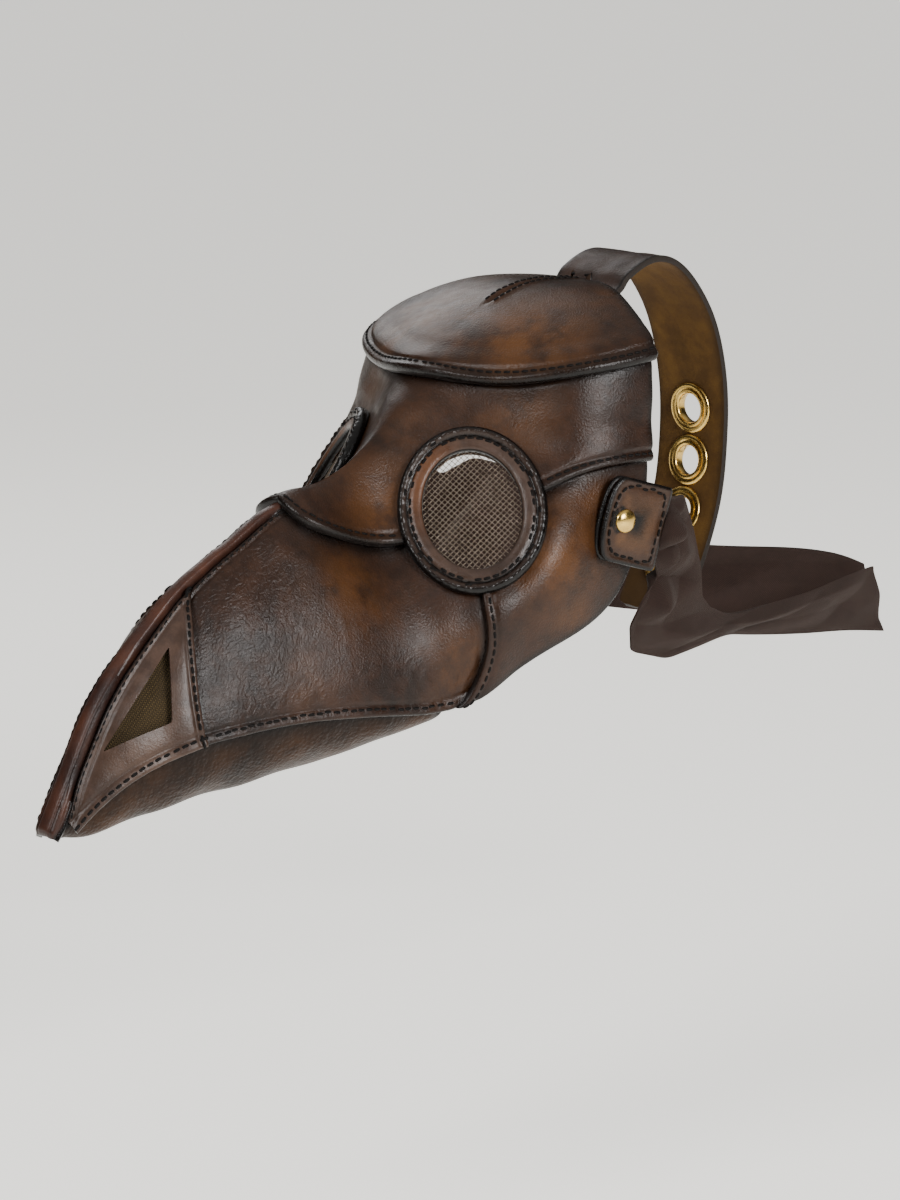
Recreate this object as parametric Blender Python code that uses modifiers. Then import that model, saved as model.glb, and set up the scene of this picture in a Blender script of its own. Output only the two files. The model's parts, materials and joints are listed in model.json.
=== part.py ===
"""Plague doctor mask: stitched leather panels on one master form, with eyes, tabs, ties and a top strap.

The wearer faces -Y, +X is the wearer's left and +Z is up. The origin is the middle of the face opening
at eye level. The master form is a set of ribs: each runs from the midline of the mask round to its free
edge, and every leather panel is a patch between two lines drawn across those ribs.
"""

import math

import bmesh
import bpy
import numpy as np
from mathutils import Matrix, Vector

# Driving sizes, in metres
BEAK_REACH = 0.277          # rear edge of the face opening to the tip of the beak
FACE_HALF_WIDTH = 0.079     # midline to the outside of the temple
LEATHER = 0.0026            # the panels' thickness
FIT_GAP = 0.0005            # air between pieces that lie on each other
EYE_RING_HALF_HEIGHT = 0.0378
EYE_RING_HALF_WIDTH = 0.0320
EYE_RING_BAND = 0.0110      # from the ring's outer edge to its hole
EYE_RING_THICKNESS = 0.0046
EYE_RING_LIFT = 0.0010      # air under the ring
EYE_LEAN = math.radians(12)
EYE_OPENING_INSET = 0.0060  # cut in the leather, inside the ring's outer edge
EYE_RING_EASE = 0.0013      # eased upper edges of the ring
MESH_THICKNESS = 0.0010
BACKING_THICKNESS = 0.0020
BACKING_INSET = 0.0010      # the backing ring stays this far inside the outline of the ring in front
STRAP_WIDTH = 0.040
STRAP_THICKNESS = 0.0030
EYELET_RADIUS = 0.0118
EYELET_HOLE_RADIUS = 0.0070
EYELET_WALL = 0.0010
EYELET_FLANGE = 0.0009
EYELET_ROLL = 0.0006        # how far the flange's outer face is drawn in
TAB_LENGTH = 0.033          # front to back
TAB_HEIGHT = 0.037
TAB_LEATHER = 0.0021
TAB_STAND_OFF = 0.0054      # from the cheek at the rivet to the tab, which leaves its corners room to swing
TAB_LAYER_GAP = 0.00035     # between the tab's leathers and the tie's end
TAB_BOW = 0.0085            # how far the bowed front runs back to its corners
TAB_BOW_FULLNESS = 2.6
RIVET_FROM_FRONT = 0.0105
RIVET_HEAD_RADIUS = 0.0053
RIVET_HEAD_HEIGHT = 0.0024
RIVET_POST_RADIUS = 0.0024
RIVET_CLEARANCE = 0.0003    # under the rivet's head and round its post
RIVET_INSIDE_LENGTH = 0.0016
BURR_RADIUS = 0.0045
BURR_THICKNESS = 0.0010
TIE_CLOTH = 0.0011          # the folded cotton's thickness
TIE_SEWN_START = 0.0080     # from the rivet back to the tie's sewn end
TIE_SEWN_HALF_WIDTH = 0.0148
LINING_CLOTH = 0.0010
UNDERSIDE_LEATHER = 0.0021
UNDERSIDE_LIP = 0.005       # how far the side panels reach below the seam of the underside
TONGUE_LENGTH = 0.016
TONGUE_HALF_WIDTH = 0.012
TONGUE_THICKNESS = 0.0021
TONGUE_GAP = 0.0015         # from the hinge line to the tongue
TONGUE_AIR = 0.0011         # between the cap's inside and the tongue

# The pattern is drawn for these sizes; another reach, width or tab stretches it.
PATTERN_REACH = 0.277
PATTERN_HALF_WIDTH = 0.079
PATTERN_TAB_LENGTH = 0.033
PATTERN_TAB_CHEEK = 0.0749      # midline to the cheek at the tab's rivet
PATTERN_TAB_STAND_OFF = 0.0036
PATTERN_LEATHER = 0.0026
PATTERN_RING_HALF_WIDTH = 0.0320
PATTERN_RING_HALF_HEIGHT = 0.0378
REACH = BEAK_REACH / PATTERN_REACH
WIDTH = FACE_HALF_WIDTH / PATTERN_HALF_WIDTH
GROWTH = max(REACH, WIDTH)
RING_GROWTH = max(GROWTH, EYE_RING_HALF_WIDTH / PATTERN_RING_HALF_WIDTH,
                  EYE_RING_HALF_HEIGHT / PATTERN_RING_HALF_HEIGHT)

# Open seams between the panels, whose inner sides lean together under them
SEAM_GAP = 0.0011 * GROWTH * LEATHER / PATTERN_LEATHER
CAP_GAP = 0.0020 * GROWTH * LEATHER / PATTERN_LEATHER      # under the cap's rolled lower edge

# One rib a row: midline (y, z), free edge (x, y, z), fullness of the curve between them.
RIBS = (
    ((-0.277, -0.105), (0.0090, -0.273, -0.109), 2.00),   # 0 tip of the beak
    ((-0.262, -0.077), (0.0150, -0.257, -0.093), 1.80),
    ((-0.2455, -0.050), (0.0210, -0.240, -0.082), 1.65),
    ((-0.223, -0.0285), (0.0260, -0.225, -0.076), 1.60),
    ((-0.199, -0.0105), (0.0310, -0.209, -0.072), 1.60),   # 4 nostril seam
    ((-0.173, 0.002), (0.0400, -0.172, -0.069), 1.60),
    ((-0.147, 0.015), (0.0490, -0.132, -0.071), 1.65),    # 6 root of the beak
    ((-0.122, 0.023), (0.0560, -0.095, -0.073), 1.75),
    ((-0.102, 0.030), (0.0630, -0.063, -0.063), 1.85),
    ((-0.087, 0.038), (0.0700, -0.033, -0.051), 1.95),
    ((-0.078, 0.045), (0.0750, -0.010, -0.027), 2.00),
    ((-0.072, 0.050), (0.0790, -0.001, 0.012), 2.05),     # 11 side seam
    ((-0.067, 0.055), (0.0790, 0.002, 0.048), 2.00),
    ((-0.061, 0.061), (0.0770, 0.004, 0.070), 1.95),      # 13 cap seam
    ((-0.052, 0.070), (0.0680, 0.008, 0.082), 1.85),
    ((-0.031, 0.083), (0.0490, 0.017, 0.090), 1.80),
    ((0.003, 0.0940), (0.0270, 0.030, 0.0930), 1.85),
    ((0.042, 0.092), (0.0060, 0.041, 0.092), 2.00),       # 17 rear of the cap
)
CAP_RIB = 13
LAST_RIB = len(RIBS) - 1

# The eye's flat seat on the form
EYE_CENTRE = Vector((0.0450 * WIDTH, -0.0740 * REACH, 0.0080))
EYE_NORMAL = Vector((0.56 / WIDTH, -0.66 / REACH, 0.50)).normalized()
EYE_FLAT_MARGIN = 0.009 * RING_GROWTH       # flat leather beyond the ring
EYE_BLEND_MARGIN = 0.022 * RING_GROWTH      # where the form is its own again

# Seams that cross the ribs, as (share of the way round, rib) points
BROW_SEAM = ((0.0, 6.1), (0.2, 6.05), (0.32, 6.35), (0.44, 7.5), (0.53, 8.9), (0.62, 10.05), (0.76, 10.9),
             (1.0, 11.35))
CHEEK_SEAM = ((0.53, 8.7), (0.74, 7.95), (0.87, 7.7), (1.0, 7.05))
NOSTRIL_SEAM = ((0.0, 4.15), (0.45, 3.7), (0.75, 3.62), (1.0, 3.78))
NOSTRIL_CORNERS = ((3.25, 0.36), (1.45, 0.48), (2.90, 0.74))    # (rib, share) of the cut-out
LINING_RIBS = (1.15, 3.50)
LINING_SHARES = (0.30, 0.76)

# Half width of the strip along the top of the beak: (rib, metres)
RIDGE_HALF_WIDTHS = ((0.0, 0.0070), (1.5, 0.0090), (2.75, 0.0074), (4.1, 0.0056), (6.3, 0.0050))

# Floor of the beak: rib and height of its lowest line
UNDERSIDE = ((0.45, -0.107), (1.0, -0.108), (2.0, -0.106), (4.0, -0.102), (5.0, -0.099), (6.0, -0.094),
             (6.9, -0.086))
UNDERSIDE_ROWS = 12
UNDERSIDE_STEPS = 7         # across half of the floor
NOSTRIL_START = 0.35        # the rib where the nostril panels begin
RIDGE_START = 0.05          # the rib where the ridge strip begins
RIDGE_CLEAR = 0.25          # how many ribs it stops short of the brow panel's seam
RIDGE_ROWS = 16
CHEEK_FRONT = 0.58          # the share where the cheek panel's front row begins
HEAD_COLUMNS = 20           # of each half of the brow panel and the cap

# The strap's outer side along the midline, from the cap to its free end: (y, z)
STRAP_ROUTE = ((0.044, 0.0925), (0.058, 0.0995), (0.072, 0.1015), (0.087, 0.0955), (0.101, 0.081),
               (0.111, 0.062), (0.117, 0.036), (0.1175, 0.012), (0.1145, -0.012), (0.107, -0.034),
               (0.098, -0.052), (0.089, -0.067))
STRAP_ROWS = 20             # from the hinge line to the first eyelet
EYELETS = 4
EYELET_PITCH = 2 * EYELET_RADIUS + 0.0012
EYELET_FROM_END = EYELET_RADIUS + 0.0122

# The tab: its rivet, and how its plane and its top edge turn
TAB_RIVET = Vector((0.0, -0.0215 * REACH, 0.0020))
TAB_YAW = math.radians(9)
TAB_TILT = math.radians(-17)

# Each tie's upper and lower edges, from the tab to its free end
TIE_TOP = {
    "left": ((0.0845, 0.0155, 0.009), (0.0810, 0.026, -0.008), (0.0760, 0.037, -0.028), (0.0715, 0.043, -0.042),
             (0.0660, 0.055, -0.050), (0.0590, 0.076, -0.057), (0.0480, 0.117, -0.060), (0.0365, 0.1575, -0.062),
             (0.0238, 0.195, -0.063), (0.0145, 0.230, -0.064)),
    "right": ((-0.0845, 0.0155, 0.009), (-0.0808, 0.032, -0.006), (-0.0792, 0.052, 0.000),
              (-0.0738, 0.080, -0.009), (-0.0660, 0.112, -0.0365), (-0.0570, 0.150, -0.0496), (-0.0440, 0.186, -0.056),
              (-0.0300, 0.220, -0.060), (-0.0200, 0.244, -0.065), (-0.0145, 0.2585, -0.071)),
}
TIE_BOTTOM = {
    "left": ((0.0820, 0.0060, -0.026), (0.0790, 0.004, -0.037), (0.0750, 0.001, -0.049), (0.0710, 0.004, -0.058),
             (0.0680, 0.026, -0.066), (0.0600, 0.066, -0.0665), (0.0490, 0.0985, -0.0716),
             (0.0375, 0.1525, -0.0814), (0.0248, 0.198, -0.0891), (0.0145, 0.239, -0.0972)),
    "right": ((-0.0820, 0.0060, -0.026), (-0.0785, 0.026, -0.047), (-0.0755, 0.048, -0.055),
              (-0.0700, 0.073, -0.064), (-0.0630, 0.105, -0.075), (-0.0540, 0.147, -0.0836), (-0.0420, 0.188, -0.0892),
              (-0.0290, 0.226, -0.0951), (-0.0200, 0.250, -0.101), (-0.0145, 0.2677, -0.1058)),
}

COLLECTION = "plague_doctor_mask"
FINISHES = {
    "leather": ((0.055, 0.022, 0.012), 0.42, 0.0),
    "ridge_leather": ((0.085, 0.028, 0.016), 0.38, 0.0),
    "ring_leather": ((0.050, 0.032, 0.024), 0.36, 0.0),
    "strap_leather": ((0.040, 0.020, 0.013), 0.48, 0.0),
    "cotton": ((0.045, 0.028, 0.021), 0.85, 0.0),
    "brass": ((0.62, 0.40, 0.13), 0.28, 1.0),
    "wire": ((0.10, 0.075, 0.055), 0.45, 1.0),
    "lining": ((0.075, 0.050, 0.028), 0.80, 0.0),
}


def clear_scene():
    for obj in list(bpy.data.objects):
        bpy.data.objects.remove(obj, do_unlink=True)


def collection(name):
    made = bpy.data.collections.new(name)
    bpy.context.scene.collection.children.link(made)
    return made


def finish_of(name, finish):
    """A Principled material of the piece's own."""
    colour, roughness, metallic = FINISHES[finish]
    material = bpy.data.materials.new(name)
    material.use_nodes = True
    shader = material.node_tree.nodes["Principled BSDF"]
    shader.inputs["Base Color"].default_value = (*colour, 1.0)
    shader.inputs["Roughness"].default_value = roughness
    shader.inputs["Metallic"].default_value = metallic
    return material


def natural_spline(knots, values):
    """A smooth curve through values at knots, with no bend at its ends."""
    t = np.asarray(knots, float)
    y = np.asarray(values, float).reshape(len(t), -1)
    n = len(t)
    h = np.diff(t)
    lhs = np.eye(n)
    rhs = np.zeros_like(y)
    for i in range(1, n - 1):
        lhs[i, i - 1:i + 2] = h[i - 1], 2 * (h[i - 1] + h[i]), h[i]
        rhs[i] = 6 * ((y[i + 1] - y[i]) / h[i] - (y[i] - y[i - 1]) / h[i - 1])
    bend = np.linalg.solve(lhs, rhs)

    def at(x):
        i = int(np.clip(np.searchsorted(t, x) - 1, 0, n - 2))
        a, b = t[i + 1] - x, x - t[i]
        return (bend[i] * a ** 3 + bend[i + 1] * b ** 3) / (6 * h[i]) + (
            y[i] / h[i] - bend[i] * h[i] / 6) * a + (y[i + 1] / h[i] - bend[i + 1] * h[i] / 6) * b

    return at


def rib_values():
    rows = []
    for (my, mz), (ex, ey, ez), fullness in RIBS:
        rows.append((my * (REACH if my < 0 else 1), mz, ex * WIDTH, ey * (REACH if ey < 0 else 1), ez, fullness))
    return rows


def frame_matrix(centre, axis, upward=Vector((0, 0, 1))):
    """A matrix whose +Z is the axis and whose +Y leans to upward."""
    z = axis.normalized()
    x = upward.cross(z).normalized()
    y = z.cross(x)
    matrix = Matrix((x, y, z)).transposed().to_4x4()
    matrix.translation = centre
    return matrix


RIB_CURVE = natural_spline(range(len(RIBS)), rib_values())
EYE_SEAT = frame_matrix(EYE_CENTRE, EYE_NORMAL) @ Matrix.Rotation(EYE_LEAN, 4, "Z")
EYE_SEAT_INVERSE = EYE_SEAT.inverted()


def smooth(x):
    x = min(max(x, 0.0), 1.0)
    return x * x * (3 - 2 * x)


def form_point(rib, share):
    """A point of the master form's left half: share 0 is the midline and 1 the free edge."""
    my, mz, ex, ey, ez, fullness = RIB_CURVE(rib)
    turn = min(max(share, 0.0), 1.0) * math.pi / 2
    out = math.sin(turn) ** (2 / fullness)
    back = 1 - math.cos(turn) ** (2 / fullness)
    point = Vector((ex * out, my + (ey - my) * back, mz + (ez - mz) * back))
    local = EYE_SEAT_INVERSE @ point
    stretch = Vector((local.x / EYE_RING_HALF_WIDTH, local.y / EYE_RING_HALF_HEIGHT)).length - 1
    beyond = stretch * EYE_RING_HALF_WIDTH
    flat = 1 - smooth((beyond - EYE_FLAT_MARGIN) / (EYE_BLEND_MARGIN - EYE_FLAT_MARGIN))
    return point - flat * local.z * EYE_NORMAL


def slopes(rib, share, step=0.02):
    """The form's change with rib and with share, by central differences."""
    r0, r1 = max(rib - step, 0), min(rib + step, LAST_RIB)
    s0, s1 = max(share - step, 0.0), min(share + step, 1.0)
    along = (form_point(r1, share) - form_point(r0, share)) / (r1 - r0)
    across = (form_point(rib, s1) - form_point(rib, s0)) / (s1 - s0)
    return along, across


def form_normal(rib, share):
    along, across = slopes(rib, max(share, 0.01))
    normal = across.cross(along)
    if share < 0.01:
        normal.x = 0
    return normal.normalized()


def rib_step(rib, share, distance):
    return distance / max(slopes(rib, share)[0].length, 1e-4)


def share_step(rib, share, distance):
    return distance / max(slopes(rib, share)[1].length, 1e-4)


def share_at_width(rib, width):
    """How far round a rib lies this far from the midline."""
    values = RIB_CURVE(rib)
    ratio = min(width / values[2], 0.98)
    return math.asin(ratio ** (values[5] / 2)) * 2 / math.pi


def line_through(points):
    """A seam's rib as a smooth function of the share of the way round."""
    curve = natural_spline([p[0] for p in points], [p[1] for p in points])
    first, last = points[0][0], points[-1][0]
    return lambda share: float(curve(min(max(share, first), last))[0])


brow_seam = line_through(BROW_SEAM)
cheek_seam = line_through(CHEEK_SEAM)
nostril_seam = line_through(NOSTRIL_SEAM)
ridge_half_width = line_through(RIDGE_HALF_WIDTHS)
underside_height = line_through(UNDERSIDE)


def beside(line, side, gap=SEAM_GAP):
    """A line half a gap to one side of a seam, square to it: side is -1 towards the beak and 1 away."""

    def moved(share):
        along, across = slopes(line(share), share)
        lean = (line(share + 0.01) - line(share - 0.01)) / 0.02 * along.length / max(across.length, 1e-4)
        return line(share) + side * gap / 2 * math.hypot(1, lean) / along.length

    return moved


def grid_object(name, rows, finish, thickness, parts, outward=-1.0):
    """A sheet through rows of points, given its thickness below its faces."""
    mesh = bpy.data.meshes.new(name)
    bm = bmesh.new()
    made = [[bm.verts.new(point) for point in row] for row in rows]
    for a, b in zip(made, made[1:]):
        for i in range(len(a) - 1):
            bm.faces.new((a[i], a[i + 1], b[i + 1], b[i]))
    bmesh.ops.remove_doubles(bm, verts=bm.verts, dist=1e-6)
    bm.normal_update()
    bm.to_mesh(mesh)
    bm.free()
    obj = bpy.data.objects.new(name, mesh)
    parts.objects.link(obj)
    wall = obj.modifiers.new("thickness", "SOLIDIFY")
    wall.thickness = thickness
    wall.offset = outward
    wall.use_even_offset = False
    mesh.materials.append(finish_of(name, finish))
    mesh.shade_smooth()
    return obj


def side_rows(low, high, first, last, rows, columns, lift=0.0):
    """Rows of a panel on the left half, from rib low(share) to high(share), shares first(rib) to last."""
    made = []
    for i in range(rows + 1):
        row = []
        for j in range(columns + 1):
            rib = 6.0
            for _ in range(6):
                start = first(rib)
                share = start + (last - start) * j / columns
                bottom, top = low(share), high(share)
                rib = bottom + (top - bottom) * i / rows
            row.append(form_point(rib, share) + lift * form_normal(rib, share))
        made.append(row)
    return made


def mirrored(rows):
    """The right half's rows, ordered so that its faces still point outwards."""
    return [[Vector((-p.x, p.y, p.z)) for p in reversed(row)] for row in rows]


def both_halves(rows):
    """One panel across the midline from rows that start on it."""
    return [[Vector((-p.x, p.y, p.z)) for p in reversed(row[1:])] + row for row in rows]


def helper(obj, guides):
    for owner in list(obj.users_collection):
        owner.objects.unlink(obj)
    guides.objects.link(obj)
    obj.hide_render = True
    obj.display_type = "WIRE"
    return obj


def cut(obj, cutter):
    hole = obj.modifiers.new(cutter.name, "BOOLEAN")
    hole.operation = "DIFFERENCE"
    hole.solver = "EXACT"
    hole.object = cutter


def turned(name, profile, matrix, finish, parts, steps=32):
    """A closed turned piece: profile is (radius, height) points, from the top of its outer side down."""
    mesh = bpy.data.meshes.new(name)
    ring = [(r, 0.0, z) for r, z in profile]
    edges = [(i, (i + 1) % len(ring)) for i in range(len(ring))]
    if profile[0][0] == 0 and profile[-1][0] == 0:
        edges = edges[:-1]
    mesh.from_pydata(ring, edges, [])
    obj = bpy.data.objects.new(name, mesh)
    parts.objects.link(obj)
    screw = obj.modifiers.new("turn", "SCREW")
    screw.steps = steps
    screw.render_steps = steps
    screw.use_merge_vertices = True
    screw.merge_threshold = 1e-5
    obj.matrix_world = matrix
    mesh.materials.append(finish_of(name, finish))
    return obj


def cylinder_cutter(name, radius, depth, matrix, guides):
    bpy.ops.mesh.primitive_cylinder_add(vertices=32, radius=radius, depth=depth)
    obj = bpy.context.object
    obj.name = name
    obj.matrix_world = matrix
    return helper(obj, guides)


def mirror_matrix(matrix):
    """The same placing on the other side of the midline, without turning a shape inside out."""
    place = matrix.translation
    x, y, z = (matrix.to_3x3().col[i] for i in range(3))
    flip = Vector((-1, 1, 1))
    made = Matrix((-(x * flip), y * flip, z * flip)).transposed().to_4x4()
    made.translation = Vector((-place.x, place.y, place.z))
    return made


def make_panels(parts):
    """The leather panels that share the master form."""
    panels = {}

    def end_of_beak_side(share):
        return min(brow_seam(share), cheek_seam(share)) if share > CHEEK_SEAM[0][0] else brow_seam(share)

    def cap_seam(share):
        return CAP_RIB

    def beside_ridge(rib):
        share = share_at_width(rib, ridge_half_width(rib))
        return share + share_step(rib, share, SEAM_GAP / 2)

    def midline(rib):
        return 0.0

    def cheek_front(rib):
        return CHEEK_FRONT

    brow = side_rows(beside(brow_seam, 1), beside(cap_seam, -1, CAP_GAP), midline, 1.0, 14, HEAD_COLUMNS)
    panels["brow_panel"] = grid_object("brow_panel", both_halves(brow), "leather", LEATHER, parts)
    cap = side_rows(beside(cap_seam, 1, CAP_GAP), lambda share: LAST_RIB, midline, 1.0, 8, HEAD_COLUMNS)
    panels["forehead_cap"] = grid_object("forehead_cap", both_halves(cap), "leather", LEATHER, parts)
    sides = {
        "beak_side": side_rows(beside(nostril_seam, 1), beside(end_of_beak_side, -1), beside_ridge, 1.0, 12, 18),
        "nostril_panel": side_rows(lambda share: NOSTRIL_START, beside(nostril_seam, -1), beside_ridge, 1.0, 8, 8),
        "cheek_panel": side_rows(beside(cheek_seam, 1), beside(brow_seam, -1), cheek_front, 1.0, 9, 9),
    }
    for name, rows in sides.items():
        panels[name + "_left"] = grid_object(name + "_left", rows, "leather", LEATHER, parts)
        panels[name + "_right"] = grid_object(name + "_right", mirrored(rows), "leather", LEATHER, parts)
    return panels


def make_ridge(parts):
    """The strip along the top of the beak, from its tip to the brow."""
    rows = []
    last = brow_seam(0) - RIDGE_CLEAR
    for i in range(RIDGE_ROWS + 1):
        rib = RIDGE_START + (last - RIDGE_START) * i / RIDGE_ROWS
        edge = share_at_width(rib, ridge_half_width(rib))
        edge -= share_step(rib, edge, SEAM_GAP / 2)
        rows.append([form_point(rib, edge * j / 3) for j in range(4)])
    return grid_object("beak_ridge_strip", both_halves(rows), "ridge_leather", LEATHER, parts)


def make_underside(parts):
    """The rolled floor of the beak, sewn inside the lips of the side panels."""
    first, last = UNDERSIDE[0][0], UNDERSIDE[-1][0]
    rows = []
    for i in range(UNDERSIDE_ROWS + 1):
        rib = first + (last - first) * i / UNDERSIDE_ROWS
        share = 1 - share_step(rib, 0.97, UNDERSIDE_LIP)
        seam = form_point(rib, share) - (LEATHER + FIT_GAP) * form_normal(rib, share)
        drop = seam.z - underside_height(rib)
        row = []
        for j in range(UNDERSIDE_STEPS + 1):
            turn = math.pi / 2 * j / UNDERSIDE_STEPS
            row.append(Vector((seam.x * math.cos(turn), seam.y, seam.z - drop * math.sin(turn))))
        rows.append(row + [Vector((-p.x, p.y, p.z)) for p in row[-2::-1]])
    return grid_object("beak_underside", rows, "leather", UNDERSIDE_LEATHER, parts)


def oval(half_width, half_height, height=0.0, points=44):
    """Points round an oval in the eye's own plane."""
    turns = [2 * math.pi * i / points for i in range(points)]
    return [Vector((half_width * math.cos(t), half_height * math.sin(t), height)) for t in turns]


def loops_object(name, loops, matrix, finish, parts, closed):
    """Faces between each loop of points and the next; closed joins the last to the first, or caps the ends."""
    bm = bmesh.new()
    made = [[bm.verts.new(point) for point in loop] for loop in loops]
    pairs = list(zip(made, made[1:])) + ([(made[-1], made[0])] if closed else [])
    for a, b in pairs:
        for i in range(len(a)):
            k = (i + 1) % len(a)
            bm.faces.new((a[i], a[k], b[k], b[i]))
    if not closed:
        bm.faces.new(made[0])
        bm.faces.new(made[-1])
    bmesh.ops.recalc_face_normals(bm, faces=bm.faces)
    mesh = bpy.data.meshes.new(name)
    bm.to_mesh(mesh)
    bm.free()
    obj = bpy.data.objects.new(name, mesh)
    parts.objects.link(obj)
    obj.matrix_world = matrix
    mesh.materials.append(finish_of(name, finish))
    return obj


def oval_ring(half_width, half_height, band, low, high, ease=0.0):
    """Loops of an oval ring: up its outer side, over its face, where ease rounds the edges, and down the hole."""
    in_w, in_h = half_width - band, half_height - band
    loops = [oval(half_width, half_height, low), oval(half_width, half_height, high - ease)]
    if ease:
        loops += [oval(half_width - ease, half_height - ease, high), oval(in_w + ease, in_h + ease, high)]
    return loops + [oval(in_w, in_h, high - ease), oval(in_w, in_h, low)]


def make_eyes(parts, guides, panels):
    """Ring, wire mesh and backing ring at each eye, and the opening in the leather under them."""
    open_w = EYE_RING_HALF_WIDTH - EYE_OPENING_INSET
    open_h = EYE_RING_HALF_HEIGHT - EYE_OPENING_INSET
    for side in ("left", "right"):
        seat = EYE_SEAT if side == "left" else mirror_matrix(EYE_SEAT)
        cutter = loops_object("eye_opening_" + side, [oval(open_w, open_h, -0.02), oval(open_w, open_h, 0.02)],
                              seat, "leather", parts, False)
        helper(cutter, guides)
        for name, panel in panels.items():
            if name == "brow_panel" or name in ("beak_side_" + side, "cheek_panel_" + side):
                cut(panel, cutter)
        ring = oval_ring(EYE_RING_HALF_WIDTH, EYE_RING_HALF_HEIGHT, EYE_RING_BAND, EYE_RING_LIFT,
                         EYE_RING_LIFT + EYE_RING_THICKNESS, EYE_RING_EASE)
        loops_object("eye_ring_" + side, ring, seat, "ring_leather", parts, True)
        mesh = [oval(open_w - FIT_GAP, open_h - FIT_GAP, -MESH_THICKNESS), oval(open_w - FIT_GAP, open_h - FIT_GAP)]
        loops_object("eye_mesh_" + side, mesh, seat, "wire", parts, False)
        back = -LEATHER - FIT_GAP
        backing = oval_ring(EYE_RING_HALF_WIDTH - BACKING_INSET, EYE_RING_HALF_HEIGHT - BACKING_INSET,
                            EYE_RING_BAND - 2 * BACKING_INSET, back - BACKING_THICKNESS, back)
        loops_object("eye_backing_" + side, backing, seat, "leather", parts, True)


def make_nostrils(parts, guides, panels):
    """A triangular cut-out in each nostril panel and the woven lining behind it."""
    triangle = [form_point(*corner) for corner in NOSTRIL_CORNERS]
    normal = (triangle[1] - triangle[0]).cross(triangle[2] - triangle[0]).normalized()
    rows = side_rows(lambda share: LINING_RIBS[0], lambda share: LINING_RIBS[1], lambda rib: LINING_SHARES[0],
                     LINING_SHARES[1], 6, 6, -LEATHER - FIT_GAP)
    for side in ("left", "right"):
        sign = 1 if side == "left" else -1
        bm = bmesh.new()
        ends = []
        for reach in (0.012, -0.012):
            ends.append([bm.verts.new(Vector((sign * (p + normal * reach).x, *(p + normal * reach).yz)))
                         for p in triangle])
        bm.faces.new(ends[0])
        bm.faces.new(ends[1][::-1])
        for i in range(3):
            bm.faces.new((ends[0][i], ends[1][i], ends[1][(i + 1) % 3], ends[0][(i + 1) % 3]))
        bmesh.ops.recalc_face_normals(bm, faces=bm.faces)
        mesh = bpy.data.meshes.new("nostril_opening_" + side)
        bm.to_mesh(mesh)
        bm.free()
        cutter = bpy.data.objects.new(mesh.name, mesh)
        parts.objects.link(cutter)
        helper(cutter, guides)
        cut(panels["nostril_panel_" + side], cutter)
        lining = rows if side == "left" else mirrored(rows)
        grid_object("nostril_lining_" + side, lining, "lining", LINING_CLOTH, parts)


def hang_on(obj, hinge):
    """The hinge's child, left where it is."""
    obj.parent = hinge
    obj.matrix_parent_inverse = Matrix.Translation(-hinge.location)


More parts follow.
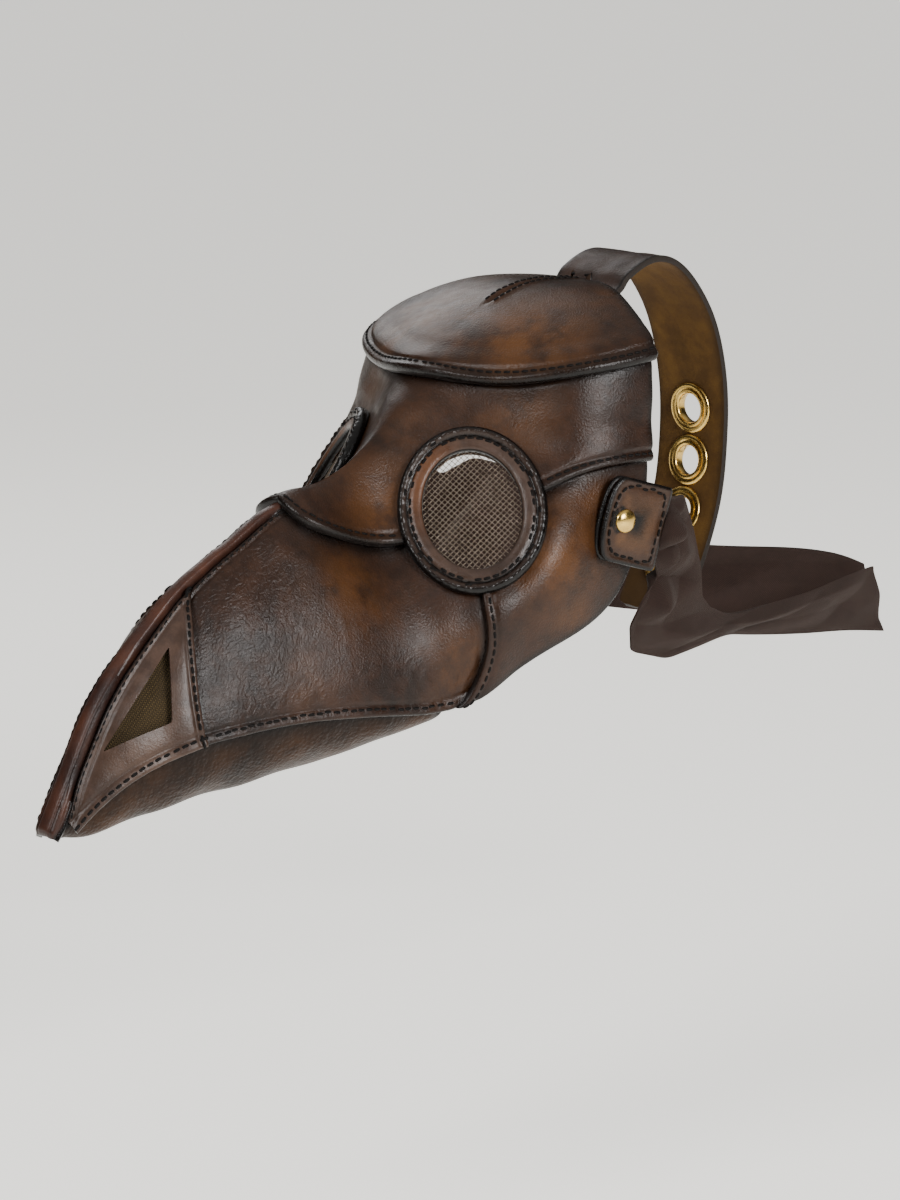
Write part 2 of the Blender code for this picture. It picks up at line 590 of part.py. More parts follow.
def make_strap(parts, guides):
    """The top strap with its eyelets, on the hinge line at the rear of the cap, and its sewn tongue."""
    curve = natural_spline(range(len(STRAP_ROUTE)), STRAP_ROUTE)
    hinge = bpy.data.objects.new("strap_hinge", None)
    hinge.location = (0, STRAP_ROUTE[0][0], STRAP_ROUTE[0][1] - STRAP_THICKNESS / 2)
    parts.objects.link(hinge)

    half = STRAP_WIDTH / 2
    fine = [curve(i / 40) for i in range(40 * (len(STRAP_ROUTE) - 1) + 1)]
    run = np.concatenate([[0], np.cumsum([math.dist(a, b) for a, b in zip(fine, fine[1:])])])
    holes = [run[-1] - EYELET_FROM_END - EYELET_PITCH * i for i in reversed(range(EYELETS))]
    bends = [at - EYELET_PITCH / 2 for at in holes] + [holes[-1] + EYELET_PITCH / 2]
    marks = list(np.linspace(0, bends[0], STRAP_ROWS))[:-1] + bends + [run[-1]]

    def on_route(distance):
        return Vector([0, *(np.interp(distance, run, [point[k] for point in fine]) for k in (0, 1))])

    rows = []
    for mark in marks:
        point = on_route(mark)
        rows.append([Vector((half * side, point.y, point.z)) for side in (-1, -0.5, 0, 0.5, 1)])
    strap = grid_object("top_strap", rows, "strap_leather", STRAP_THICKNESS, parts)
    hang_on(strap, hinge)

    stem = EYELET_HOLE_RADIUS + EYELET_WALL
    for number, (above, below) in enumerate(zip(bends, bends[1:]), 1):
        start, end = on_route(above), on_route(below)
        axis = Vector((1, 0, 0)).cross(end - start).normalized()
        if axis.y < 0:
            axis = -axis
        centre = (start + end) / 2 - axis * STRAP_THICKNESS / 2
        seat = frame_matrix(centre, axis, Vector((1, 0, 0)))
        cutter = cylinder_cutter(f"eyelet_hole_{number}", stem + FIT_GAP, 0.012, seat, guides)
        cut(strap, cutter)
        top = STRAP_THICKNESS / 2 + FIT_GAP
        low = -top - EYELET_FLANGE
        eyelet = [(EYELET_RADIUS - EYELET_ROLL, top + EYELET_FLANGE), (EYELET_RADIUS, top), (stem, top), (stem, low),
                  (EYELET_HOLE_RADIUS, low), (EYELET_HOLE_RADIUS, top + EYELET_FLANGE)]
        washer = [(EYELET_RADIUS, -top), (EYELET_RADIUS, low), (stem + FIT_GAP, low), (stem + FIT_GAP, -top)]
        for piece, profile in (("strap_eyelet", eyelet), ("eyelet_washer", washer)):
            made = turned(f"{piece}_{number}", profile, seat, "brass", parts, 24)
            hang_on(made, hinge)

    rear = STRAP_ROUTE[0][0] - TONGUE_GAP
    rows = []
    for i in range(4):
        y = rear - TONGUE_LENGTH * (3 - i) / 3
        row = []
        for side in (-1, -0.5, 0, 0.5, 1):
            x = TONGUE_HALF_WIDTH * side
            row.append(Vector((x, y, tongue_height(x, y) - LEATHER - TONGUE_AIR)))
        rows.append(row)
    grid_object("strap_tongue", rows, "strap_leather", TONGUE_THICKNESS, parts)


def tongue_height(x, y):
    """Height of the cap's outside over a point near its rear."""
    best, height = 1.0, 0.0
    for i in range(31):
        for j in range(21):
            point = form_point(LAST_RIB - 3.0 + 3.0 * i / 30, j / 20)
            gap = math.hypot(point.x - abs(x), point.y - y)
            if gap < best:
                best, height = gap, point.z
    return height


def tab_outline():
    """The tab's flat outline about its rivet, +X to the rear: square at the rear, bowed at the front."""
    rear = TAB_LENGTH - RIVET_FROM_FRONT
    half = TAB_HEIGHT / 2
    points = [(rear, -half), (rear, half)]
    for i in range(13):
        turn = math.pi * i / 12
        across = abs(math.cos(turn)) ** (2 / TAB_BOW_FULLNESS) * half
        x = -RIVET_FROM_FRONT + TAB_BOW * (1 - math.sin(turn) ** (2 / TAB_BOW_FULLNESS))
        points.append((x, math.copysign(across, math.cos(turn))))
    return points


def flat_piece(name, outline, low, high, matrix, finish, parts):
    """A flat plate of an outline between two heights."""
    bm = bmesh.new()
    face = bm.faces.new([bm.verts.new((x, y, low)) for x, y in outline])
    pushed = bmesh.ops.extrude_face_region(bm, geom=[face])
    for item in pushed["geom"]:
        if isinstance(item, bmesh.types.BMVert):
            item.co.z = high
    bmesh.ops.recalc_face_normals(bm, faces=bm.faces)
    mesh = bpy.data.meshes.new(name)
    bm.to_mesh(mesh)
    bm.free()
    obj = bpy.data.objects.new(name, mesh)
    parts.objects.link(obj)
    obj.matrix_world = matrix
    mesh.materials.append(finish_of(name, finish))
    return obj


def cheek_under(rivet):
    """The cheek's outside beside the rivet."""
    best = None
    for i in range(41):
        for j in range(41):
            point = form_point(9.0 + 2.2 * i / 40, 0.6 + 0.4 * j / 40)
            gap = math.hypot(point.y - rivet.y, point.z - rivet.z)
            if best is None or gap < best[0]:
                best = gap, point
    return best[1]


def ribbon_rows(top, bottom, across=4, steps=2):
    """Rows across a ribbon between its two edges."""
    upper = natural_spline(range(len(top)), top)
    lower = natural_spline(range(len(bottom)), bottom)
    rows = []
    for i in range(steps * (len(top) - 1) + 1):
        a, b = Vector(upper(i / steps)), Vector(lower(i / steps))
        rows.append([a.lerp(b, j / across) for j in range(across + 1)])
    return rows


def tab_seat(side):
    """Where the tab lies: origin on the cheek under the rivet, +X to its rear, +Z out of the cheek."""
    out = Vector((math.cos(TAB_YAW), -math.sin(TAB_YAW), 0))
    rear = Matrix.Rotation(TAB_TILT, 3, out) @ Vector((math.sin(TAB_YAW), math.cos(TAB_YAW), 0))
    up = out.cross(rear)
    place = cheek_under(TAB_RIVET)
    if side == "right":
        flip = Vector((-1, 1, 1))
        rear, up, out, place = rear * flip, -(up * flip), out * flip, place * flip
    seat = Matrix((rear, up, out)).transposed().to_4x4()
    seat.translation = place
    return seat


def make_tab(side, parts, guides, panels):
    """One side tab: two leathers with the tie's end between them, turning on a rivet through the cheek."""
    seat = tab_seat(side)
    back_top = TAB_STAND_OFF + TAB_LEATHER
    cloth_low = back_top + TAB_LAYER_GAP
    front_low = cloth_low + TIE_CLOTH + TAB_LAYER_GAP
    front_top = front_low + TAB_LEATHER
    hinge = bpy.data.objects.new("tab_hinge_" + side, None)
    hinge.matrix_world = seat
    parts.objects.link(hinge)
    outline = tab_outline()
    pieces = [flat_piece("tab_back_" + side, outline, TAB_STAND_OFF, back_top, seat, "leather", parts),
              flat_piece("tab_front_" + side, outline, front_low, front_top, seat, "leather", parts)]
    sewn_end = TAB_LENGTH - RIVET_FROM_FRONT - FIT_GAP
    half = TIE_SEWN_HALF_WIDTH
    sewn = [(sewn_end, -half), (sewn_end, half), (TIE_SEWN_START, half), (TIE_SEWN_START, -half)]
    flat_piece("tie_sewn_end_" + side, sewn, cloth_low, cloth_low + TIE_CLOTH, seat, "cotton", parts)
    hole = cylinder_cutter("rivet_hole_" + side, RIVET_POST_RADIUS + FIT_GAP, 0.03, seat, guides)
    for piece in pieces:
        cut(piece, hole)
    cut(panels["cheek_panel_" + side], hole)
    head = front_top + RIVET_CLEARANCE
    inside = -LEATHER - RIVET_INSIDE_LENGTH
    cap = [(0.0, head + RIVET_HEAD_HEIGHT)]
    for i in range(1, 5):
        turn = math.pi / 2 * i / 4
        cap.append((RIVET_HEAD_RADIUS * math.sin(turn), head + RIVET_HEAD_HEIGHT * math.cos(turn)))
    cap += [(RIVET_POST_RADIUS, head), (RIVET_POST_RADIUS, inside), (0.0, inside)]
    turned("tab_rivet_" + side, cap, seat, "brass", parts, 20)
    bore = RIVET_POST_RADIUS + RIVET_CLEARANCE
    top = inside + BURR_THICKNESS
    turned("rivet_burr_" + side, [(BURR_RADIUS, top), (BURR_RADIUS, inside), (bore, inside), (bore, top)], seat,
           "brass", parts, 20)


def tie_edge(points, side):
    """An edge of a tie, moved with its tab's place and length; the move fades out towards the free end."""
    seat = tab_seat(side)
    rear, _, out = (seat.to_3x3().col[i] for i in range(3))
    shift = out * (TAB_STAND_OFF - PATTERN_TAB_STAND_OFF) + rear * (TAB_LENGTH - PATTERN_TAB_LENGTH)
    shift.x += math.copysign(abs(seat.translation.x) - PATTERN_TAB_CHEEK, out.x)
    shift.y += TAB_RIVET.y * (1 - 1 / REACH)
    last = len(points) - 1
    return [Vector(point) + shift * (1 - i / last) for i, point in enumerate(points)]


def make_tie(side, parts):
    """The cloth ribbon from the rear of the tab to its free end behind the head."""
    rows = ribbon_rows(tie_edge(TIE_TOP[side], side), tie_edge(TIE_BOTTOM[side], side))
    grid_object("cloth_tie_" + side, rows, "cotton", TIE_CLOTH, parts, 0.0)


def main():
    clear_scene()
    parts = collection(COLLECTION)
    guides = collection("cutters")
    panels = make_panels(parts)
    make_ridge(parts)
    make_underside(parts)
    make_eyes(parts, guides, panels)
    make_nostrils(parts, guides, panels)
    make_strap(parts, guides)
    for side in ("left", "right"):
        make_tab(side, parts, guides, panels)
        make_tie(side, parts)


main()
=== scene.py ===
"""Looks of a stitched leather plague doctor mask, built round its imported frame.

The leather panels lap over each other along the seams of one master form, the same form that the frame's
panels were cut from. Every size is in metres, the wearer faces -Y and +X is the wearer's left.
"""
import json
import logging
import math
from dataclasses import dataclass, field
from enum import Enum
from typing import Callable, Sequence

import bpy
import numpy as np
from mathutils import Matrix, Vector
from mathutils.bvhtree import BVHTree
from mathutils.kdtree import KDTree


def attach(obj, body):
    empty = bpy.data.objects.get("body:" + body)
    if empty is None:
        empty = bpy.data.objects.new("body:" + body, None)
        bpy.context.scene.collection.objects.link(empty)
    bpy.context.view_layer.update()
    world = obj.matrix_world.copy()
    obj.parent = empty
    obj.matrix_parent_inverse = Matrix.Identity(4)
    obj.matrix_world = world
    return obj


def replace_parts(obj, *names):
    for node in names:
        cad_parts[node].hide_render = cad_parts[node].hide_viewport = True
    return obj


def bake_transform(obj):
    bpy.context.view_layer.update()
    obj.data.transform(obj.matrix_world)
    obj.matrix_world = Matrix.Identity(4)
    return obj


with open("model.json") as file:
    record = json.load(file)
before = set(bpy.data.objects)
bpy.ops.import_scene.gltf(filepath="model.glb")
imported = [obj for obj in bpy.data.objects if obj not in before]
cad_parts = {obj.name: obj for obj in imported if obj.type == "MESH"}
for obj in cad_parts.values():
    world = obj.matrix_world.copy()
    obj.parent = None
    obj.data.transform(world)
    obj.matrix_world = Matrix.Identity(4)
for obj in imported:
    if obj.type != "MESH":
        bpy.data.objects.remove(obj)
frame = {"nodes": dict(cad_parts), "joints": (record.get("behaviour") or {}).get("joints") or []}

LOG = logging.getLogger("plague_mask")
Array = np.ndarray
Line = Callable[[Array], Array]
Colour = tuple[float, float, float]
Relief = Callable[[Array, Array, Array], Array]     # from points, ribs and shares
Piece = bpy.types.Object
Material = bpy.types.Material
Socket = bpy.types.NodeSocket

# --- Sizes shared with the frame ---
LEATHER = 0.0026
FIT = 0.0003

# One rib a row: midline (y, z), free edge (x, y, z), fullness of the curve between them
RIBS = (
    ((-0.277, -0.105), (0.0090, -0.273, -0.109), 2.00),
    ((-0.262, -0.077), (0.0150, -0.257, -0.093), 1.80),
    ((-0.2455, -0.050), (0.0210, -0.240, -0.082), 1.65),
    ((-0.223, -0.0285), (0.0260, -0.225, -0.076), 1.60),
    ((-0.199, -0.0105), (0.0310, -0.209, -0.072), 1.60),
    ((-0.173, 0.002), (0.0400, -0.172, -0.069), 1.60),
    ((-0.147, 0.015), (0.0490, -0.132, -0.071), 1.65),
    ((-0.122, 0.023), (0.0560, -0.095, -0.073), 1.75),
    ((-0.102, 0.030), (0.0630, -0.063, -0.063), 1.85),
    ((-0.087, 0.038), (0.0700, -0.033, -0.051), 1.95),
    ((-0.078, 0.045), (0.0750, -0.010, -0.027), 2.00),
    ((-0.072, 0.050), (0.0790, -0.001, 0.012), 2.05),
    ((-0.067, 0.055), (0.0790, 0.002, 0.048), 2.00),
    ((-0.061, 0.061), (0.0770, 0.004, 0.070), 1.95),
    ((-0.052, 0.070), (0.0680, 0.008, 0.082), 1.85),
    ((-0.031, 0.083), (0.0490, 0.017, 0.090), 1.80),
    ((0.003, 0.0940), (0.0270, 0.030, 0.0930), 1.85),
    ((0.042, 0.092), (0.0060, 0.041, 0.092), 2.00),
)
CAP_RIB = 13.0
LAST_RIB = 17.0
NOSTRIL_START = 0.35

# Seams across the ribs as (share of the way round, rib), and lines along them as (rib, metres)
BROW_SEAM = ((0.0, 6.1), (0.2, 6.05), (0.32, 6.35), (0.44, 7.5), (0.53, 8.9), (0.62, 10.05), (0.76, 10.9),
             (1.0, 11.35))
CHEEK_SEAM = ((0.53, 8.7), (0.74, 7.95), (0.87, 7.7), (1.0, 7.05))
NOSTRIL_SEAM = ((0.0, 4.15), (0.45, 3.7), (0.75, 3.62), (1.0, 3.78))
NOSTRIL_CORNERS = ((3.25, 0.36), (1.45, 0.48), (2.90, 0.74))
RIDGE_HALF_WIDTHS = ((0.0, 0.0074), (0.30, 0.0084), (0.8, 0.0072), (1.5, 0.0070), (2.75, 0.0060), (4.1, 0.0050),
                     (6.3, 0.0046))
UNDERSIDE = ((0.45, -0.107), (1.0, -0.108), (2.0, -0.106), (4.0, -0.102), (5.0, -0.099), (6.0, -0.094),
             (6.9, -0.086))

BRIDGE = (-0.118, 0.030)    # (y, z) that the beak's creases fan out from

STRAP_ROUTE = ((0.044, 0.0925), (0.058, 0.0995), (0.072, 0.1015), (0.087, 0.0955), (0.101, 0.081),
               (0.111, 0.062), (0.117, 0.036), (0.1175, 0.012), (0.1145, -0.012), (0.107, -0.034),
               (0.098, -0.052), (0.089, -0.067))

TIE_TOP = {
    "left": ((0.0845, 0.0155, 0.009), (0.0810, 0.026, -0.008), (0.0760, 0.037, -0.028),
             (0.0715, 0.043, -0.042), (0.0660, 0.055, -0.050), (0.0590, 0.076, -0.057),
             (0.0480, 0.117, -0.060), (0.0365, 0.1575, -0.062), (0.0238, 0.195, -0.063), (0.0145, 0.230, -0.064)),
    "right": ((-0.0845, 0.0155, 0.009), (-0.0808, 0.032, -0.006), (-0.0792, 0.052, 0.000),
              (-0.0738, 0.080, -0.009), (-0.0660, 0.112, -0.0365), (-0.0570, 0.150, -0.0496),
              (-0.0440, 0.186, -0.056), (-0.0300, 0.220, -0.060), (-0.0200, 0.244, -0.065),
              (-0.0145, 0.2585, -0.071)),
}
TIE_BOTTOM = {
    "left": ((0.0825, 0.0020, -0.026), (0.0800, -0.005, -0.036), (0.0765, -0.009, -0.047),
             (0.0715, -0.003, -0.060), (0.0680, 0.024, -0.068), (0.0600, 0.066, -0.0665), (0.0490, 0.0985, -0.0716),
             (0.0375, 0.1525, -0.0814), (0.0248, 0.198, -0.0891), (0.0145, 0.239, -0.0972)),
    "right": ((-0.0820, 0.0060, -0.026), (-0.0785, 0.026, -0.047), (-0.0755, 0.048, -0.055),
              (-0.0700, 0.073, -0.064), (-0.0630, 0.105, -0.075), (-0.0540, 0.147, -0.0836),
              (-0.0420, 0.188, -0.0892), (-0.0290, 0.226, -0.0951), (-0.0200, 0.250, -0.101),
              (-0.0145, 0.2677, -0.1058)),
}


class Side(Enum):
    """The wearer's left or right, with the sign of its X."""

    LEFT = "left"
    RIGHT = "right"

    @property
    def sign(self) -> int:
        """+1 on the wearer's left and -1 on the right."""
        return 1 if self is Side.LEFT else -1


class EdgeKind(Enum):
    """What a panel's edge does at its seam."""

    OVER = "laps over its neighbour"
    UNDER = "runs beneath its neighbour"
    FREE = "is cut and burnished"


# --- Working helpers ---
def deselect() -> None:
    """Leaves nothing selected, so that an operator acts only on what is picked next."""
    if bpy.context.mode != "OBJECT":
        bpy.ops.object.mode_set(mode="OBJECT")
    bpy.ops.object.select_all(action="DESELECT")


def pick(obj: Piece) -> Piece:
    """Selects one object alone and makes it active."""
    deselect()
    obj.select_set(True)
    bpy.context.view_layer.objects.active = obj
    return obj


def apply_all(obj: Piece) -> Piece:
    """Applies every modifier of an object, in order."""
    pick(obj)
    for name in [modifier.name for modifier in obj.modifiers]:
        bpy.ops.object.modifier_apply(modifier=name)
    return obj


def coordinates(obj: Piece) -> Array:
    """The vertices of a mesh object as an array of rows."""
    flat = np.empty(len(obj.data.vertices) * 3)
    obj.data.vertices.foreach_get("co", flat)
    return flat.reshape(-1, 3)


def put(obj: Piece, points: Array) -> None:
    """Moves the vertices of a mesh object to rows of points."""
    obj.data.vertices.foreach_set("co", np.ascontiguousarray(points, float).ravel())
    obj.data.update()


def settle(obj: Piece) -> Piece:
    """Leaves the object at the origin, unturned, with its place in its mesh."""
    pick(obj)
    bpy.ops.object.transform_apply(location=True, rotation=True, scale=True)
    return obj


def on_all(obj: Piece, *steps: Callable[[], object]) -> Piece:
    """Runs edit-mode steps on everything in a piece."""
    pick(obj)
    bpy.ops.object.mode_set(mode="EDIT")
    bpy.ops.mesh.select_all(action="SELECT")
    for step in steps:
        step()
    bpy.ops.object.mode_set(mode="OBJECT")
    return obj


def outward(obj: Piece) -> Piece:
    """Merges doubled points of a closed shape and turns its faces out."""
    on_all(obj, lambda: bpy.ops.mesh.remove_doubles(threshold=1e-6),
           lambda: bpy.ops.mesh.normals_make_consistent(inside=False))
    if enclosed(obj) < 0:
        obj.data.flip_normals()
    return obj


def enclosed(obj: Piece) -> float:
    """The volume that a closed piece's faces enclose, below 0 where they face inwards."""
    points = coordinates(obj)
    obj.data.calc_loop_triangles()
    corners = np.empty(len(obj.data.loop_triangles) * 3, np.int32)
    obj.data.loop_triangles.foreach_get("vertices", corners)
    a, b, c = points[corners].reshape(-1, 3, 3).transpose(1, 0, 2)
    return float((np.cross(a, b) * c).sum() / 6)


def smooth_shaded(obj: Piece, degrees: float = 40.0) -> Piece:
    """Shades an object smooth, with edges sharper than an angle kept."""
    pick(obj)
    bpy.ops.object.shade_smooth_by_angle(angle=math.radians(degrees))
    return obj


def mirrored(obj: Piece, name: str) -> Piece:
    """A copy of a piece on the other side of the midline.

    Args:
        obj: The finished piece.
        name: The copy's name.

    Returns:
        The copy, with a mesh of its own and its faces outward.
    """
    mesh = obj.data.copy()
    mesh.name = name
    mesh.transform(Matrix.Scale(-1, 4, (1, 0, 0)))
    mesh.flip_normals()
    return linked(name, mesh)


def linked(name: str, data: bpy.types.ID) -> Piece:
    """A new object of some data, put in the scene."""
    obj = bpy.data.objects.new(name, data)
    bpy.context.scene.collection.objects.link(obj)
    return obj


def grid(name: str, columns: int, rows: int) -> Piece:
    """A named flat grid from -1 to 1 each way, alone and active."""
    deselect()
    bpy.ops.mesh.primitive_grid_add(x_subdivisions=columns, y_subdivisions=rows, size=2)
    obj = bpy.context.object
    obj.name = obj.data.name = name
    return obj


def walled(obj: Piece, thickness: float, skins: Sequence[Material],
           offset: float = -1.0) -> None:
    """Sets a wall on a surface.

    Args:
        obj: The surface.
        thickness: Of the wall.
        skins: One material, or those of the outside, the inside and the rim.
        offset: -1 puts the wall under the surface and 0 to both sides of it.
    """
    for skin in skins:
        obj.data.materials.append(skin)
    wall = obj.modifiers.new("thickness", "SOLIDIFY")
    wall.thickness, wall.offset = thickness, offset
    if len(skins) > 1:
        wall.material_offset, wall.material_offset_rim = 1, 2


def shelled(obj: Piece, outer: Array, inner: Array, skins: Sequence[Material]) -> None:
    """Turns a grid into a closed shell.

    Args:
        obj: The grid.
        outer: A point of the outer side for each vertex.
        inner: The same for the inner side.
        skins: The materials of the outside, the inside and the rim.
    """
    put(obj, outer)
    walled(obj, LEATHER, skins)
    apply_all(obj)
    put(obj, np.concatenate([outer, inner]))


def placed(points: Array, matrix: Matrix) -> Array:
    """Rows of points moved by a matrix."""
    moved = np.array(matrix)
    return points @ moved[:3, :3].T + moved[:3, 3]


def smooth_step(x: Array) -> Array:
    """0 below 0, 1 above 1 and an even S between them."""
    x = np.clip(x, 0.0, 1.0)
    return x * x * (3 - 2 * x)


def bell(x: Array, middle: float, width: float) -> Array:
    """A rounded bump of height 1 about a middle."""
    return np.exp(-(((x - middle) / width) ** 2))


def unit(vectors: Array) -> Array:
    """Rows scaled to length 1."""
    return vectors / np.maximum(np.linalg.norm(vectors, axis=-1, keepdims=True), 1e-12)


def waves(points: Array, size: float, seed: int, count: int = 14) -> Array:
    """Smooth unevenness of about +-1, made of seeded plane waves.

    Args:
        points: Rows of points.
        size: The typical distance between two bumps.
        seed: Chooses the waves.
        count: How many waves are summed.

    Returns:
        One value a point.
    """
    rng = np.random.default_rng(seed)
    total = np.zeros(len(points))
    for _ in range(count):
        direction = unit(rng.normal(size=3)) * rng.uniform(0.6, 1.5)
        total += np.sin(points @ direction * (2 * math.pi / size) + rng.uniform(0, 2 * math.pi))
    return total / math.sqrt(count)


def resampled(points: Array, step: float) -> Array:
    """Points along a polyline at even distances."""
    run = np.concatenate([[0], np.cumsum(np.linalg.norm(np.diff(points, axis=0), axis=1))])
    at = np.linspace(0, run[-1], max(int(run[-1] / step), 2) + 1)
    return np.stack([np.interp(at, run, points[:, k]) for k in range(3)], axis=1)


# --- The master form ---
class NaturalSpline:
    """A smooth curve through values at knots, with no bend at its ends."""

    def __init__(self, knots: Sequence[float], values: Sequence) -> None:
        """Fits the curve.

        Args:
            knots: Where the values are, rising.
            values: A number or a row of numbers for each knot.
        """
        self.t = np.asarray(knots, float)
        self.y = np.asarray(values, float).reshape(len(self.t), -1)
        n = len(self.t)
        h = self.h = np.diff(self.t)
        lhs, rhs = np.eye(n), np.zeros_like(self.y)
        for i in range(1, n - 1):
            lhs[i, i - 1:i + 2] = h[i - 1], 2 * (h[i - 1] + h[i]), h[i]
            rhs[i] = 6 * ((self.y[i + 1] - self.y[i]) / h[i] - (self.y[i] - self.y[i - 1]) / h[i - 1])
        self.bend = np.linalg.solve(lhs, rhs)

    def __call__(self, x: Array) -> Array:
        """The curve's rows at x."""
        x = np.atleast_1d(np.asarray(x, float))
        i = np.clip(np.searchsorted(self.t, x) - 1, 0, len(self.t) - 2)
        h = self.h[i][:, None]
        a, b = (self.t[i + 1] - x)[:, None], (x - self.t[i])[:, None]
        return (self.bend[i] * a ** 3 + self.bend[i + 1] * b ** 3) / (6 * h) + (
            self.y[i] / h - self.bend[i] * h / 6) * a + (self.y[i + 1] / h - self.bend[i + 1] * h / 6) * b


def line_through(points: Sequence[tuple[float, float]]) -> Line:
    """A smooth line through (where, value) pairs, level beyond its ends."""
    curve = NaturalSpline([p[0] for p in points], [p[1] for p in points])
    return lambda x: curve(np.clip(x, points[0][0], points[-1][0]))[:, 0]


def constant(value: float) -> Line:
    """A line with one value everywhere."""
    return lambda x: np.full(np.shape(x), value)


@dataclass(frozen=True)
class EyeSeat:
    """The flat oval seat of the left eye on the form."""

    centre: Vector = Vector((0.0450, -0.0740, 0.0080))
    normal: Vector = Vector((0.56, -0.66, 0.50)).normalized()
    lean: float = math.radians(12)
    half_width: float = 0.0320
    half_height: float = 0.0378
    flat_margin: float = 0.001
    blend_margin: float = 0.021

    def matrix(self, side: Side = Side.LEFT) -> Matrix:
        """The seat's frame: +Z off the face, +Y up along the oval.

        Args:
            side: Which eye.

        Returns:
            A placing matrix, not mirrored.
        """
        z = self.normal
        x = Vector((0, 0, 1)).cross(z).normalized()
        made = Matrix((x, z.cross(x), z)).transposed().to_4x4()
        made.translation = self.centre
        made = made @ Matrix.Rotation(self.lean, 4, "Z")
        if side is Side.LEFT:
            return made
        flip = Vector((-1, 1, 1))
        cols = [made.to_3x3().col[i] * flip for i in range(3)]
        other = Matrix((-cols[0], cols[1], cols[2])).transposed().to_4x4()
        other.translation = made.translation * flip
        return other

    def local(self, points: Array) -> Array:
        """Points in the left seat's frame."""
        return placed(points, self.matrix().inverted())

    def beyond(self, points: Array) -> Array:
        """How far points lie outside the ring's outline, seen along the seat's axis."""
        local = self.local(points)
        return (np.hypot(local[:, 0] / self.half_width, local[:, 1] / self.half_height) - 1) * self.half_width


class MaskForm:
    """The master form: ribs from the midline round to the free edge, and the seams drawn on it."""

    def __init__(self) -> None:
        """Fits the ribs and the seam lines."""
        rows = [(my, mz, ex, ey, ez, full) for (my, mz), (ex, ey, ez), full in RIBS]
        self.ribs = NaturalSpline(range(len(RIBS)), rows)
        self.seat = EyeSeat()
        self.brow = line_through(BROW_SEAM)
        self.cheek = line_through(CHEEK_SEAM)
        self.nostril = line_through(NOSTRIL_SEAM)
        self.ridge = line_through(RIDGE_HALF_WIDTHS)
        self.floor = line_through(UNDERSIDE)

    def point(self, rib: Array, share: Array) -> Array:
        """Points of the left half: share 0 is the midline and 1 the free edge.

        Args:
            rib: Where along the form.
            share: How far round it.

        Returns:
            Rows of points.
        """
        my, mz, ex, ey, ez, fullness = self.ribs(rib).T
        turn = np.clip(share, 0.0, 1.0) * math.pi / 2
        out = np.sin(turn) ** (2 / fullness)
        back = 1 - np.maximum(np.cos(turn), 0) ** (2 / fullness)
        points = np.stack([ex * out, my + (ey - my) * back, mz + (ez - mz) * back], axis=1)
        beyond = self.seat.beyond(points)
        seat = self.seat
        flat = np.exp(-(np.maximum(beyond - seat.flat_margin, 0) / seat.blend_margin) ** 2)
        height = seat.local(points)[:, 2]
        return points - (flat * height)[:, None] * np.array(seat.normal)

    def slopes(self, rib: Array, share: Array, step: float = 0.01) -> tuple[Array, Array]:
        """The form's change with rib and with share."""
        r0, r1 = np.maximum(rib - step, 0), np.minimum(rib + step, LAST_RIB)
        s0, s1 = np.maximum(share - step, 0.0), np.minimum(share + step, 1.0)
        along = (self.point(r1, share) - self.point(r0, share)) / (r1 - r0)[:, None]
        across = (self.point(rib, s1) - self.point(rib, s0)) / (s1 - s0)[:, None]
        return along, across

    def normal(self, rib: Array, share: Array) -> Array:
        """Unit normals off the form."""
        along, across = self.slopes(rib, np.maximum(share, 0.012))
        made = np.cross(across, along)
        made[:, 0] *= smooth_step(share / 0.03)
        return unit(made)

    def beside(self, line: Line, gap: float) -> Line:
        """A seam line moved square to itself: a gap above 0 is away from the beak."""

        def moved(share: Array) -> Array:
            along, across = self.slopes(line(share), share)
            run = np.linalg.norm(along, axis=1)
            lean = (line(share + 0.01) - line(share - 0.01)) / 0.02 * run / np.maximum(
                np.linalg.norm(across, axis=1), 1e-4)
            return line(share) + gap * np.hypot(1, np.clip(lean, -3, 3)) / run

        return moved

    def ridge_share(self, gap: float) -> Line:
        """The share where a rib leaves the ridge strip, moved out by a gap."""

        def at(rib: Array) -> Array:
            values = self.ribs(rib)
            ratio = np.clip((self.ridge(rib) + gap) / values[:, 2], 0, 0.98)
            return np.arcsin(ratio ** (values[:, 5] / 2)) * 2 / math.pi

        return at


FORM = MaskForm()


@dataclass
class Seam:
    """A line on the form that a panel's edge follows.

    Attributes:
        points: Rows of points along it.
        normals: The form's normals there.
        inward: +1 or -1, the side of the line that the panel lies on.
    """

    points: Array
    normals: Array
    inward: float = 1.0

    CLEAR = 0.0045

    @classmethod
    def across(cls, line: Line, first: float, last: float, inward: float) -> "Seam":
        """A seam that crosses the ribs, from share first to last."""
        share = np.linspace(first, last, 240)
        rib = line(share)
        return cls(FORM.point(rib, share), FORM.normal(rib, share), inward)

    @classmethod
    def along(cls, share_line: Line, first: float, last: float, inward: float) -> "Seam":
        """A seam that runs along the ribs, from rib first to last."""
        rib = np.linspace(first, last, 400)
        share = share_line(rib)
        return cls(FORM.point(rib, share), FORM.normal(rib, share), inward)

    def distance(self, points: Array) -> Array:
        """How far points are from the line."""
        fine = resampled(self.points, 0.00025)
        tree = KDTree(len(fine))
        for i, point in enumerate(fine):
            tree.insert(point, i)
        tree.balance()
        return np.array([tree.find(point)[2] for point in points])

    def offset(self, distance: float) -> Array:
        """The line moved into its panel by a distance, and raised clear above it."""
        tangent = unit(np.gradient(self.points, axis=0))
        moved = self.points + unit(np.cross(self.normals, tangent)) * (self.inward * distance)
        return moved + self.normals * self.CLEAR


